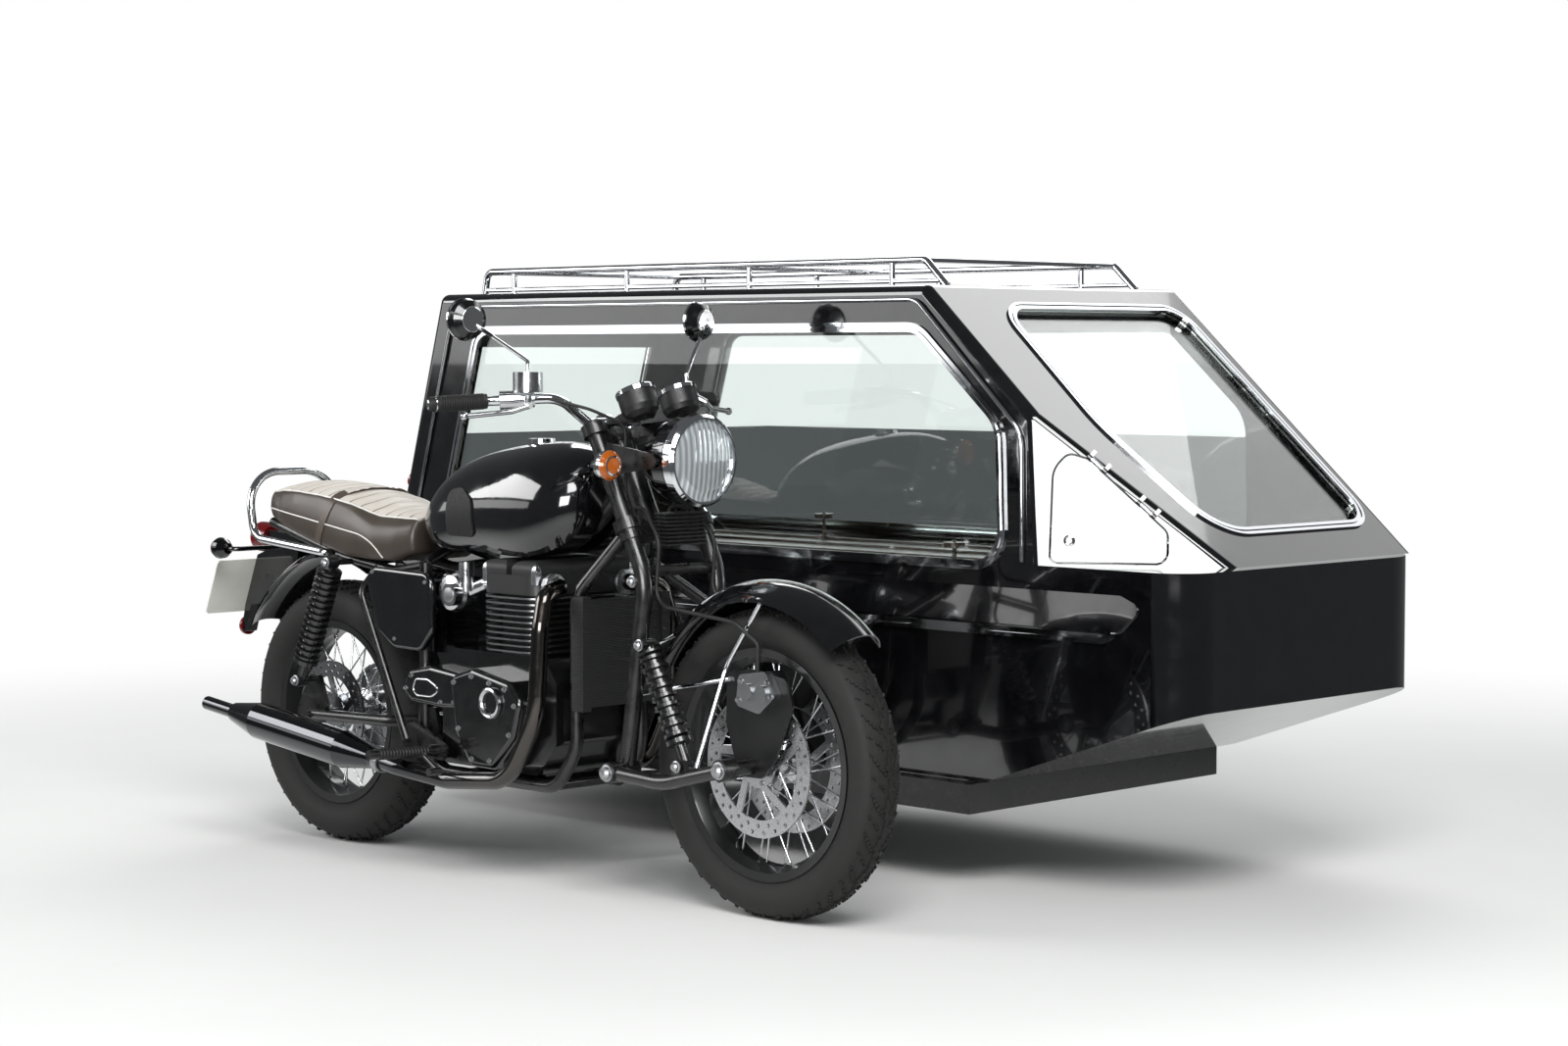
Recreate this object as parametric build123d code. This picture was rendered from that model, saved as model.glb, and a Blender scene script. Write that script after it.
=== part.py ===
from build123d import *
from math import cos, hypot, radians, sin, sqrt, tan
import os

# Sidecar motorcycle: a parallel-twin motorcycle with leading-link forks and, on its left,
# a long glass-sided sidecar that carries a coffin. Sizes are millimetres.
# X points forward, Y to the left (towards the sidecar), Z up, and the ground is Z = 0.
# Places are given ahead of the rear axle, left of the motorcycle's middle plane, above ground.

REAR_AXLE_X = -782.0
BIKE_Y = -541.0
WHEELBASE = 1490.0
SEAT_GAP = 0.3
MOVING_GAP = 5.0

# Wheels. Each tyre's outer radius and width, its bead seat radius and the hub's half width.
FRONT_TYRE_RADIUS = 331.5
FRONT_TYRE_WIDTH = 112.0
FRONT_BEAD_RADIUS = 241.0
REAR_TYRE_RADIUS = 321.0
REAR_TYRE_WIDTH = 150.0
REAR_BEAD_RADIUS = 217.0
SIDE_TYRE_RADIUS = 300.0
SIDE_TYRE_WIDTH = 135.0
SIDE_BEAD_RADIUS = 190.0
SIDE_WHEEL_X = 205.0
SIDE_WHEEL_Y = 1400.0
AXLE_RADIUS = 10.0
AXLE_CLEARANCE = 0.3
STUB_RADIUS = 14.0
SPOKES_PER_SIDE = 18
SPOKE_RADIUS = 2.0
SPOKE_LEAN = 44.0

# Steering: the steering axis passes through this point and leans back by the rake.
RAKE = 27.0
STEER_POINT_X = 1095.0
STEER_POINT_Z = 823.0
LEG_AHEAD = 44.0
LEG_Y = 110.0
LEG_RADIUS = 19.0
YOKE_SPAN = 205.0
YOKE_THICKNESS = 26.0
YOKE_BOSS_RADIUS = 30.0
STEM_RADIUS = 12.0
HEADSTOCK_RADIUS = 29.0
LINK_PIVOT_X = 1137.0
LINK_PIVOT_Z = 292.0
LEG_BEND_Z = 712.0

# Sidecar body. The near wall faces the motorcycle.
NEAR_WALL_Y = 570.0
FAR_WALL_Y = 1510.0
ROOF_Z = 1365.0
BELT_Z = 740.0
DECK_Z = 700.0
BODY_FLOOR_Z = 242.0
CHASSIS_FLOOR_Z = 174.0
ROOF_REAR_X = -360.0
ROOF_FRONT_X = 1398.0
REAR_SLOPE = 0.30
SCREEN_SLOPE = 0.893
NOSE_X = 2150.0
NOSE_BOTTOM_Z = 438.0
LOWER_REAR_X = -585.0
CHASSIS_FRONT_X = 1585.0
BODY_WALL = 30.0
SPLIT_Z = 688.0
NEAR_NOSE_RADIUS = 95.0
FAR_NOSE_RADIUS = 160.0
DECK_THICKNESS = 18.0
GLASS_THICKNESS = 6.0
TRIM_WIDTH = 22.0
TRIM_THICKNESS = 5.0
ARCH_CLEARANCE = 42.0
ROOM_X = (LOWER_REAR_X - 300.0, NOSE_X + 300.0)
ROOM_Y = (0.0, FAR_WALL_Y + 500.0)


def at(x, y, z):
    return Vector(REAR_AXLE_X + x, BIKE_Y + y, z)


def rod(start, end, radius):
    length = (end - start).length
    return Plane(origin=start, z_dir=end - start) * Cylinder(
        radius, length, align=(Align.CENTER, Align.CENTER, Align.MIN)
    )


def pipe(points, radius, bends):
    path = FilletPolyline(*points, radius=bends)
    start = Plane(origin=points[0], z_dir=points[1] - points[0])
    return sweep(start * Circle(radius), path=path)


def block(x, y, z):
    """A box between two values each of x, y and z."""
    size = (x[1] - x[0], y[1] - y[0], z[1] - z[0])
    return Pos(*at(x[0], y[0], z[0])) * Box(*size, align=(Align.MIN, Align.MIN, Align.MIN))


def side_plane(y):
    """The drawing plane of side views at y: its x runs forward and its y up."""
    return Plane(origin=at(0, y, 0), x_dir=(1, 0, 0), z_dir=(0, -1, 0))


def plate(outline, y, corner=0.0):
    """A plate between two values of y with an outline of (x, z) points and rounded corners."""
    face = make_face(Polyline(*outline, close=True))
    if corner:
        face = fillet(face.vertices(), corner)
    return extrude(side_plane(y[0]) * face, amount=y[1] - y[0], dir=(0, 1, 0))


def turned(outline, origin, along):
    """A solid turned about an axis from (radius, distance along the axis) points."""
    section = make_face(Plane.XZ * Polyline(*outline, close=True))
    return Plane(origin=origin, z_dir=along) * revolve(section, Axis.Z)


def both_sides(make):
    """The solids that make(side) gives on the right, side -1, and on the left, side +1."""
    return make(-1), make(1)


def span(side, near, far):
    """The two values of y, in order, of what lies between near and far on one side."""
    return (min(side * near, side * far), max(side * near, side * far))


def fused(*solids):
    first, *rest = solids
    return first.fuse(*rest)


def write(name, *solids):
    shapes = []
    for solid in solids:
        shapes.extend(solid.solids())
    export_step(Compound(children=shapes), f"parts/{name}.step")


STEER_UP = Vector(-sin(radians(RAKE)), 0, cos(radians(RAKE)))
STEER_AHEAD = Vector(cos(radians(RAKE)), 0, sin(radians(RAKE)))
STEER_POINT = at(STEER_POINT_X, 0, STEER_POINT_Z)
SIDEWAYS = Vector(0, 1, 0)
FORWARD = Vector(1, 0, 0)
UPWARD = Vector(0, 0, 1)


def steer(up, ahead, y):
    """A place on the fork: up along the steering axis, ahead of it and left of it."""
    return STEER_POINT + STEER_UP * up + STEER_AHEAD * ahead + SIDEWAYS * y


# Wheels

RIM_FLANGE = 9.0
RIM_WELL_DEPTH = 22.0
RIM_WELL_HALF_WIDTH = 16.0


def tyre(centre, radius, width, bead_radius):
    half_bead = width * 0.34
    half = width / 2
    shoulder = radius - width * 0.13
    half_tread = width * 0.42
    bead_top = bead_radius + RIM_FLANGE + 2
    bulge = (bead_top + shoulder) / 2
    edges = [
        Line((bead_radius, half_bead), (bead_radius, -half_bead)),
        Line((bead_radius, -half_bead), (bead_top, -half_bead)),
        ThreePointArc((bead_top, -half_bead), (bulge, -half), (shoulder, -half_tread)),
        ThreePointArc((shoulder, -half_tread), (radius, 0), (shoulder, half_tread)),
        ThreePointArc((shoulder, half_tread), (bulge, half), (bead_top, half_bead)),
        Line((bead_top, half_bead), (bead_radius, half_bead)),
    ]
    section = make_face(Plane.XZ * Wire(edges))
    return Plane(origin=centre, z_dir=SIDEWAYS) * revolve(section, Axis.Z)


def rim(centre, width, bead_radius):
    half = width * 0.34 + SEAT_GAP
    seat = bead_radius - SEAT_GAP
    outline = [
        (bead_radius + RIM_FLANGE, -half - 4),
        (bead_radius + RIM_FLANGE, -half),
        (seat, -half),
        (seat, half),
        (bead_radius + RIM_FLANGE, half),
        (bead_radius + RIM_FLANGE, half + 4),
        (bead_radius - 9, half + 2),
        (bead_radius - RIM_WELL_DEPTH, RIM_WELL_HALF_WIDTH),
        (bead_radius - RIM_WELL_DEPTH, -RIM_WELL_HALF_WIDTH),
        (bead_radius - 9, -half - 2),
    ]
    return turned(outline, centre, SIDEWAYS)


def hub(centre, half_width, flange_radius, core_radius, bore_radius):
    outline = [
        (bore_radius, -half_width),
        (core_radius * 0.8, -half_width),
        (core_radius * 0.8, -half_width * 0.8),
        (flange_radius, -half_width * 0.7),
        (flange_radius, -half_width * 0.58),
        (core_radius, -half_width * 0.45),
        (core_radius, half_width * 0.45),
        (flange_radius, half_width * 0.58),
        (flange_radius, half_width * 0.7),
        (core_radius * 0.8, half_width * 0.8),
        (core_radius * 0.8, half_width),
        (bore_radius, half_width),
    ]
    return turned(outline, centre, SIDEWAYS)


def spokes(centre, half_width, flange_radius, rim_radius):
    """Crossed spokes from both hub flanges to the rim's well."""
    made = []
    for side in (-1, 1):
        for count in range(SPOKES_PER_SIDE):
            rim_angle = radians(360.0 * (count + 0.5 + side / 4) / SPOKES_PER_SIDE)
            hub_angle = rim_angle + radians(SPOKE_LEAN if count % 2 else -SPOKE_LEAN)
            inner = Vector(
                flange_radius * cos(hub_angle),
                side * half_width * 0.64,
                flange_radius * sin(hub_angle),
            )
            outer = Vector(
                rim_radius * cos(rim_angle),
                side * RIM_WELL_HALF_WIDTH * 0.5,
                rim_radius * sin(rim_angle),
            )
            made.append(rod(centre + inner, centre + outer, SPOKE_RADIUS))
    return made


def wire_wheel(centre, width, bead_radius, half_hub, flange_radius, core_radius):
    well = bead_radius - RIM_WELL_DEPTH + 3
    bore = AXLE_RADIUS + AXLE_CLEARANCE
    return fused(
        rim(centre, width, bead_radius),
        hub(centre, half_hub, flange_radius, core_radius, bore),
        *spokes(centre, half_hub, flange_radius - 5, well),
    )


FRONT_AXLE = at(WHEELBASE, 0, FRONT_TYRE_RADIUS)
REAR_AXLE = at(0, 0, REAR_TYRE_RADIUS)
SIDE_AXLE = at(SIDE_WHEEL_X, SIDE_WHEEL_Y, SIDE_TYRE_RADIUS)

FRONT_HUB_HALF = 48.0
REAR_HUB_HALF = 60.0
DISC_OUTER = 155.0
DISC_BAND = 38.0
DISC_THICKNESS = 5.0
DISC_Y = FRONT_HUB_HALF + SEAT_GAP
DISC_CENTRE_RADIUS = 48.0
DISC_ARMS = 5
DISC_HOLE_RADIUS = 4.5
DISC_HOLES_PER_RING = 26
DISC_HOLE_RINGS = [
    # how far in from the braking band's outer edge, first angle
    (11, 0.0),
    (26, 7.0),
]


def brake_disc(centre, y, outer, thickness):
    """A braking ring on arms, its inner face at y on the side away from the wheel's middle."""
    side = 1 if y > 0 else -1
    along = SIDEWAYS * side
    origin = centre + SIDEWAYS * y
    ring = turned(
        [(outer - DISC_BAND, 0), (outer, 0), (outer, thickness), (outer - DISC_BAND, thickness)],
        origin,
        along,
    )
    bore = AXLE_RADIUS + 8
    boss = turned(
        [(bore, 0), (DISC_CENTRE_RADIUS, 0), (DISC_CENTRE_RADIUS, thickness), (bore, thickness)],
        origin,
        along,
    )
    arms = []
    for count in range(DISC_ARMS):
        angle = radians(360.0 * count / DISC_ARMS)
        bend = radians(24)
        inner = DISC_CENTRE_RADIUS - 4
        reach = outer - DISC_BAND + 4
        start = Vector(inner * cos(angle), 0, inner * sin(angle))
        end = Vector(reach * cos(angle + bend), 0, reach * sin(angle + bend))
        middle = (start + end) / 2
        way = end - start
        arm = Plane(
            origin=origin + middle + along * (thickness / 2), x_dir=way, z_dir=along
        ) * Box(way.length, 17, thickness)
        arms.append(arm)
    holes = []
    for inwards, first in DISC_HOLE_RINGS:
        for number in range(DISC_HOLES_PER_RING):
            angle = radians(first + 360.0 * number / DISC_HOLES_PER_RING)
            reach = outer - inwards
            middle = origin + Vector(reach * cos(angle), 0, reach * sin(angle))
            holes.append(rod(middle - along, middle + along * (thickness + 1), DISC_HOLE_RADIUS))
    return fused(ring, boss, *arms).cut(*holes)


def make_front_wheel():
    write("front_tyre", tyre(FRONT_AXLE, FRONT_TYRE_RADIUS, FRONT_TYRE_WIDTH, FRONT_BEAD_RADIUS))
    write(
        "front_wheel_rim",
        wire_wheel(FRONT_AXLE, FRONT_TYRE_WIDTH, FRONT_BEAD_RADIUS, FRONT_HUB_HALF, 46, 28),
    )
    write(
        "front_brake_discs",
        *both_sides(lambda side: brake_disc(FRONT_AXLE, side * DISC_Y, DISC_OUTER, DISC_THICKNESS)),
    )


REAR_DISC_OUTER = 128.0
SPROCKET_RADIUS = 98.0
SPROCKET_BOSS = 42.0
SPROCKET_THICKNESS = 6.0
SPROCKET_Y = 86.0


def make_rear_wheel():
    write("rear_tyre", tyre(REAR_AXLE, REAR_TYRE_RADIUS, REAR_TYRE_WIDTH, REAR_BEAD_RADIUS))
    disc = brake_disc(REAR_AXLE, -REAR_HUB_HALF + 0.5, REAR_DISC_OUTER, DISC_THICKNESS)
    bore = AXLE_RADIUS + AXLE_CLEARANCE
    sprocket = turned(
        [
            (bore, REAR_HUB_HALF - 1),
            (SPROCKET_BOSS, REAR_HUB_HALF - 1),
            (SPROCKET_BOSS, SPROCKET_Y),
            (SPROCKET_RADIUS, SPROCKET_Y),
            (SPROCKET_RADIUS, SPROCKET_Y + SPROCKET_THICKNESS),
            (bore, SPROCKET_Y + SPROCKET_THICKNESS),
        ],
        REAR_AXLE,
        SIDEWAYS,
    )
    wheel = wire_wheel(REAR_AXLE, REAR_TYRE_WIDTH, REAR_BEAD_RADIUS, REAR_HUB_HALF, 52, 34)
    write("rear_wheel_rim", fused(wheel, disc, sprocket))


SIDE_HUB_INNER = 38.0


def make_sidecar_wheel():
    write("sidecar_tyre", tyre(SIDE_AXLE, SIDE_TYRE_RADIUS, SIDE_TYRE_WIDTH, SIDE_BEAD_RADIUS))
    dish = turned(
        [
            (STUB_RADIUS + AXLE_CLEARANCE, -SIDE_HUB_INNER),
            (48, -SIDE_HUB_INNER),
            (48, 2),
            (74, 6),
            (120, 14),
            (148, 4),
            (SIDE_BEAD_RADIUS - RIM_WELL_DEPTH + 3, 4),
            (SIDE_BEAD_RADIUS - RIM_WELL_DEPTH + 3, 12),
            (150, 12),
            (120, 22),
            (74, 14),
            (46, 30),
            (STUB_RADIUS + AXLE_CLEARANCE, 30),
        ],
        SIDE_AXLE,
        SIDEWAYS,
    )
    write("sidecar_wheel_rim", fused(rim(SIDE_AXLE, SIDE_TYRE_WIDTH, SIDE_BEAD_RADIUS), dish))


# Front fork

LINK_RADIUS = 16.0
LINK_Y = 150.0
LINK_DIP_SHARE = 0.462
LINK_DIP_Z = 284.0
LINK_EYE_HALF = 18.0
SHOCK_TOP_X = 1228.0
SHOCK_TOP_Z = 578.0
SHOCK_FOOT_SHARE = 0.606
SHOCK_FOOT_Z = 326.0
SHOCK_Y = 130.0
SHOCK_PIN_RADIUS = 7.0
SHOCK_EYE_HALF = 13.0
FRONT_COIL_RADIUS = 30.0
FRONT_COIL_TURNS = 9
BRACE_X = 1193.0
BRACE_Z = 733.0
HEADLAMP_X = 1268.0
HEADLAMP_Z = 974.0
HEADLAMP_RADIUS = 97.0
HEADLAMP_EAR_X = 1216.0
HEADLAMP_SIDE = 95.0
INDICATOR_X = 1144.0
INDICATOR_Y = 170.0
INDICATOR_Z = 965.0
INDICATOR_BACK = 34.0


def yoke(low, half_depth):
    """A yoke: bars from the steering stem out to the clamps round both legs."""
    rise = STEER_UP * (YOKE_THICKNESS / 2)
    centre = steer(low + YOKE_THICKNESS / 2, 0, 0)
    parts = [rod(centre - rise, centre + rise, YOKE_BOSS_RADIUS)]
    for side in (-1, 1):
        outer = steer(low + YOKE_THICKNESS / 2, LEG_AHEAD, side * LEG_Y)
        way = outer - centre
        bar = Plane(origin=(centre + outer) / 2, x_dir=way, z_dir=STEER_UP)
        parts.append(bar * Box(way.length, 2 * half_depth, YOKE_THICKNESS))
        parts.append(rod(outer - rise, outer + rise, LEG_RADIUS + 10))
    return fused(*parts)


def fork_leg(side):
    y = side * LEG_Y
    head = steer(YOKE_SPAN + YOKE_THICKNESS + 8, LEG_AHEAD, y)
    drop = (head.Z - LEG_BEND_Z) / cos(radians(RAKE))
    bend = head - STEER_UP * drop
    foot = at(LINK_PIVOT_X, y, LINK_PIVOT_Z)
    tube = pipe([head, bend, foot], LEG_RADIUS, 150)
    collar = rod(steer(-YOKE_THICKNESS - 22, LEG_AHEAD, y), steer(0, LEG_AHEAD, y), LEG_RADIUS + 5)
    boss = rod(foot - SIDEWAYS * 21, foot + SIDEWAYS * 21, 24)
    shock_top = at(SHOCK_TOP_X, side * SHOCK_Y, SHOCK_TOP_Z)
    inner = shock_top - SIDEWAYS * side * (SHOCK_EYE_HALF + 10)
    lug = rod(at(SHOCK_TOP_X - 58, side * LEG_Y, SHOCK_TOP_Z + 6), inner, 8)
    pin = rod(inner - SIDEWAYS * side * 6, shock_top + SIDEWAYS * side * 24, SHOCK_PIN_RADIUS)
    ear = plate(
        [
            (HEADLAMP_EAR_X - 160, HEADLAMP_Z + 40),
            (HEADLAMP_EAR_X, HEADLAMP_Z + 16),
            (HEADLAMP_EAR_X + 16, HEADLAMP_Z),
            (HEADLAMP_EAR_X, HEADLAMP_Z - 16),
            (HEADLAMP_EAR_X - 140, HEADLAMP_Z - 34),
        ],
        span(side, 100, 106),
        6,
    )
    ear_seat = at(HEADLAMP_EAR_X, side * (HEADLAMP_SIDE + SEAT_GAP), HEADLAMP_Z)
    ear_pin = rod(at(HEADLAMP_EAR_X, side * 103, HEADLAMP_Z), ear_seat, 9)
    stem_end = at(INDICATOR_X - INDICATOR_BACK - SEAT_GAP, side * INDICATOR_Y, INDICATOR_Z)
    stem_turn = stem_end - FORWARD * 20
    stem_root = at(stem_turn.X - REAR_AXLE_X, side * LEG_Y, INDICATOR_Z)
    stem = pipe([stem_root, stem_turn, stem_end], 7, 12)
    return [tube, collar, boss, lug, pin, ear, ear_pin, stem]


def make_steering_fork():
    parts = fork_leg(-1) + fork_leg(1)
    parts.append(yoke(-YOKE_THICKNESS, 19))
    parts.append(yoke(YOKE_SPAN, 22))
    parts.append(rod(steer(-2, 0, 0), steer(YOKE_SPAN + 2, 0, 0), STEM_RADIUS))
    top = YOKE_SPAN + YOKE_THICKNESS
    parts.append(rod(steer(top - 1, 0, 0), steer(top + 10, 0, 0), 17))
    parts.append(rod(at(BRACE_X, -LEG_Y, BRACE_Z), at(BRACE_X, LEG_Y, BRACE_Z), 12))
    write("steering_fork", fused(*parts))


def along_link(share):
    """How far ahead of the rear axle a place is, this share of the way from a link's pivot to the axle."""
    return LINK_PIVOT_X + share * (WHEELBASE - LINK_PIVOT_X)


def shock_foot(side):
    return at(along_link(SHOCK_FOOT_SHARE), side * SHOCK_Y, SHOCK_FOOT_Z)


def make_links():
    foot_x = along_link(SHOCK_FOOT_SHARE)
    parts = []
    for side in (-1, 1):
        y = side * LINK_Y
        rear = at(LINK_PIVOT_X, y, LINK_PIVOT_Z)
        dip = at(along_link(LINK_DIP_SHARE), y, LINK_DIP_Z)
        front = at(WHEELBASE, y, FRONT_TYRE_RADIUS)
        parts.append(pipe([rear, dip, front], LINK_RADIUS, 200))
        half = SIDEWAYS * LINK_EYE_HALF
        parts.append(rod(rear - half, rear + half, 23))
        parts.append(rod(front - half, front + half, 24))
        parts.append(
            plate(
                [
                    (foot_x - 30, LINK_DIP_Z),
                    (foot_x + 34, LINK_DIP_Z + 12),
                    (foot_x + 15, SHOCK_FOOT_Z + 12),
                    (foot_x - 15, SHOCK_FOOT_Z + 12),
                ],
                (y - 5, y + 5),
                5,
            )
        )
        foot = shock_foot(side)
        outward = SIDEWAYS * side
        parts.append(rod(foot - outward * 18, foot + outward * 30, SHOCK_PIN_RADIUS))
        spacer_start = FRONT_AXLE + outward * (DISC_Y + DISC_THICKNESS + 3)
        parts.append(rod(spacer_start, FRONT_AXLE + outward * (LINK_Y - 10), AXLE_RADIUS + 6))
    reach = SIDEWAYS * (LINK_Y + 26)
    parts.append(rod(FRONT_AXLE - reach, FRONT_AXLE + reach, AXLE_RADIUS))
    write("leading_links", fused(*parts))


def coil_shock(top, foot, coil_radius, turns, eye_radius):
    """A damper with its spring drawn as a stack of rings, between two eyes on pins."""
    way = foot - top
    length = way.length
    start = eye_radius + 10
    finish = length - eye_radius - 46
    step = (finish - start) / turns
    wire = step * 0.3
    core = coil_radius * 0.72
    neck = SHOCK_EYE_HALF - 1
    outline = [
        (0, eye_radius * 0.6),
        (neck, eye_radius * 0.6),
        (neck, eye_radius + 2),
        (coil_radius, eye_radius + 5),
        (coil_radius, start),
    ]
    for count in range(turns):
        middle = start + step * (count + 0.5)
        outline += [
            (core, middle - wire),
            (coil_radius, middle - wire * 0.55),
            (coil_radius, middle + wire * 0.55),
            (core, middle + wire),
        ]
    outline += [
        (coil_radius, finish),
        (coil_radius, finish + 10),
        (neck, finish + 13),
        (neck, length - eye_radius * 0.6),
        (0, length - eye_radius * 0.6),
    ]
    body = turned(outline, top, way)
    eyes = []
    holes = []
    for end in (top, foot):
        half = SIDEWAYS * SHOCK_EYE_HALF
        eyes.append(rod(end - half, end + half, eye_radius))
        holes.append(rod(end - half * 3, end + half * 3, SHOCK_PIN_RADIUS + SEAT_GAP))
    return fused(body, *eyes).cut(*holes)


def make_front_shocks():
    def shock(side):
        top = at(SHOCK_TOP_X, side * SHOCK_Y, SHOCK_TOP_Z)
        return coil_shock(top, shock_foot(side), FRONT_COIL_RADIUS, FRONT_COIL_TURNS, 13)

    write("front_shocks", *both_sides(shock))


MUDGUARD_CROWN = 395.0
MUDGUARD_HALF = 76.0
MUDGUARD_EDGE = 350.0
MUDGUARD_SHEET = 4.0


def mudguard(centre, crown, edge, half, rear_angle, sweep_angle):
    """A curved sheet round a wheel, from its rear end at an angle above forward, towards the front."""
    outer = ThreePointArc((edge, -half), (crown, 0), (edge, half))
    inner_half = half - MUDGUARD_SHEET
    inner = ThreePointArc((edge, inner_half), (crown - MUDGUARD_SHEET, 0), (edge, -inner_half))
    rim_near = Line((edge, half), (edge, inner_half))
    rim_far = Line((edge, -inner_half), (edge, -half))
    section = make_face(Plane.XZ * Wire([outer, rim_near, inner, rim_far]))
    start = Vector(cos(radians(rear_angle)), 0, sin(radians(rear_angle)))
    turn = Plane(origin=centre, x_dir=start, z_dir=SIDEWAYS)
    return turn * revolve(section, Axis.Z, revolution_arc=sweep_angle)


STAY_RADIUS = 5.0


def make_front_mudguard():
    sheet = mudguard(FRONT_AXLE, MUDGUARD_CROWN, MUDGUARD_EDGE, MUDGUARD_HALF, 152, 104)
    write("front_mudguard", sheet)

    def guard_edge(x, side):
        drop = MUDGUARD_EDGE + 1
        z = FRONT_TYRE_RADIUS + sqrt(drop * drop - (x - WHEELBASE) ** 2)
        return at(x, side * (MUDGUARD_HALF + SEAT_GAP + STAY_RADIUS), z)

    def stay(side):
        foot = at(WHEELBASE - 88, side * LINK_Y, 328.3)
        bend = at(WHEELBASE - 60, side * 86, 545)
        return pipe([guard_edge(WHEELBASE + 35, side), bend, foot], STAY_RADIUS, 60)

    def rear_stay(side):
        leg = at(LINK_PIVOT_X + 41, side * (LEG_Y - LEG_RADIUS - SEAT_GAP - STAY_RADIUS), 560)
        return rod(guard_edge(WHEELBASE - 228, side), leg, STAY_RADIUS)

    write("mudguard_stays", *both_sides(stay), *both_sides(rear_stay))


CALIPER_SLOT = 3.0
CARRIER_OUTLINE = [
    # ahead of the front axle, above it
    (-75, 198.5),
    (10, 208.5),
    (102, 193.5),
    (122, 138.5),
    (70, 18.5),
    (30, -23.5),
    (-40, -23.5),
    (-78, 88.5),
]
CALIPER_OUTLINE = [
    # ahead of the front axle, above it
    (-28, 130.5),
    (-20, 196.5),
    (60, 208.5),
    (92, 158.5),
    (42, 116.5),
]
PISTON_CAPS_X = (8.0, 52.0)
PISTON_CAPS_UP = 162.5
PISTON_CAP_RADIUS = 17.0


def by_front_axle(outline):
    return [(WHEELBASE + ahead, FRONT_TYRE_RADIUS + up) for ahead, up in outline]


def make_calipers():
    disc_inner = DISC_Y - CALIPER_SLOT
    disc_outer = DISC_Y + DISC_THICKNESS + CALIPER_SLOT

    def caliper(side):
        carrier = plate(by_front_axle(CARRIER_OUTLINE), span(side, 66, 72), 16)
        body = plate(by_front_axle(CALIPER_OUTLINE), span(side, 38, 92), 12)
        slot = rod(
            FRONT_AXLE + SIDEWAYS * side * disc_inner,
            FRONT_AXLE + SIDEWAYS * side * disc_outer,
            DISC_OUTER + CALIPER_SLOT + 1,
        )
        caps = []
        for ahead in PISTON_CAPS_X:
            middle = FRONT_AXLE + Vector(ahead, 0, PISTON_CAPS_UP)
            caps.append(
                rod(
                    middle + SIDEWAYS * side * 90,
                    middle + SIDEWAYS * side * 99,
                    PISTON_CAP_RADIUS,
                )
            )
        bore = rod(
            FRONT_AXLE + SIDEWAYS * side * 50,
            FRONT_AXLE + SIDEWAYS * side * 80,
            AXLE_RADIUS + 6 + SEAT_GAP,
        )
        return fused(carrier, body, *caps).cut(slot, bore)

    def torque_arm(side):
        leg_side = LEG_Y - LEG_RADIUS - SEAT_GAP - 5
        leg_end = at(LINK_PIVOT_X + 21, side * leg_side, 462)
        return rod(leg_end, at(WHEELBASE - 62, side * 77.5, 514), 5)

    write("brake_calipers", *both_sides(caliper))
    write("torque_arms", *both_sides(torque_arm))


def make_headlamp():
    centre = at(HEADLAMP_X, 0, HEADLAMP_Z)
    seat = 12.0
    shell = turned(
        [
            (0, 148),
            (34, 148),
            (68, 125),
            (90, 86),
            (HEADLAMP_SIDE, 68),
            (HEADLAMP_SIDE, 34),
            (HEADLAMP_RADIUS, 28),
            (HEADLAMP_RADIUS, seat),
            (0, seat),
        ],
        centre,
        -FORWARD,
    )
    write("headlamp_shell", shell)
    ring = HEADLAMP_RADIUS + SEAT_GAP
    write(
        "headlamp_rim",
        turned(
            [
                (ring, 26),
                (ring + 4, 24),
                (ring + 4, 2),
                (ring - 2, -5),
                (ring - 7, -5),
                (ring - 7, seat - SEAT_GAP),
                (ring, seat - SEAT_GAP),
            ],
            centre,
            -FORWARD,
        ),
    )
    glass = ring - 7 - SEAT_GAP
    write(
        "headlamp_lens",
        turned(
            [(0, -14), (40, -12), (68, -7), (glass, 2), (glass, seat - SEAT_GAP), (0, seat - SEAT_GAP)],
            centre,
            -FORWARD,
        ),
    )


DIAL_Y = 62.0
DIAL_RADIUS = 43.0
DIAL_DEPTH = 64.0
DIAL_TILT = 25.0


def make_instruments():
    up = Vector(-sin(radians(DIAL_TILT)), 0, cos(radians(DIAL_TILT)))

    def dial(side):
        base = at(1141, side * DIAL_Y, 1068)
        outline = [
            (0, 0),
            (26, 0),
            (38, 10),
            (DIAL_RADIUS, 22),
            (DIAL_RADIUS, DIAL_DEPTH),
            (DIAL_RADIUS - 4, DIAL_DEPTH),
            (DIAL_RADIUS - 6, DIAL_DEPTH - 4),
            (0, DIAL_DEPTH - 4),
        ]
        return turned(outline, base, up)

    top = YOKE_SPAN + YOKE_THICKNESS + SEAT_GAP

    def place(up, ahead):
        point = steer(up, ahead, 0) - at(0, 0, 0)
        return (point.X, point.Z)

    def bracket(side):
        return plate(
            [
                place(top, 19),
                place(top, 47),
                (1090, 1056),
                (1150, 1066),
                (1158, 1078),
                (1118, 1092),
                (1060, 1072),
                place(top + 6, 19),
            ],
            span(side, 38, DIAL_Y),
        )

    write("instruments", fused(dial(-1), bracket(-1)), fused(dial(1), bracket(1)))


BAR_RADIUS = 11.0
BAR_END = (860.0, 414.0, 1098.0)
BAR_SWEEP = (912.0, 300.0, 1104.0)
BAR_RISE = (1003.0, 185.0, 1110.0)
BAR_CLAMP_Y = 34.0
GRIP_LENGTH = 112.0
GRIP_RADIUS = 16.5


def bar_point(place, side):
    return at(place[0], side * place[1], place[2])


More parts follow.
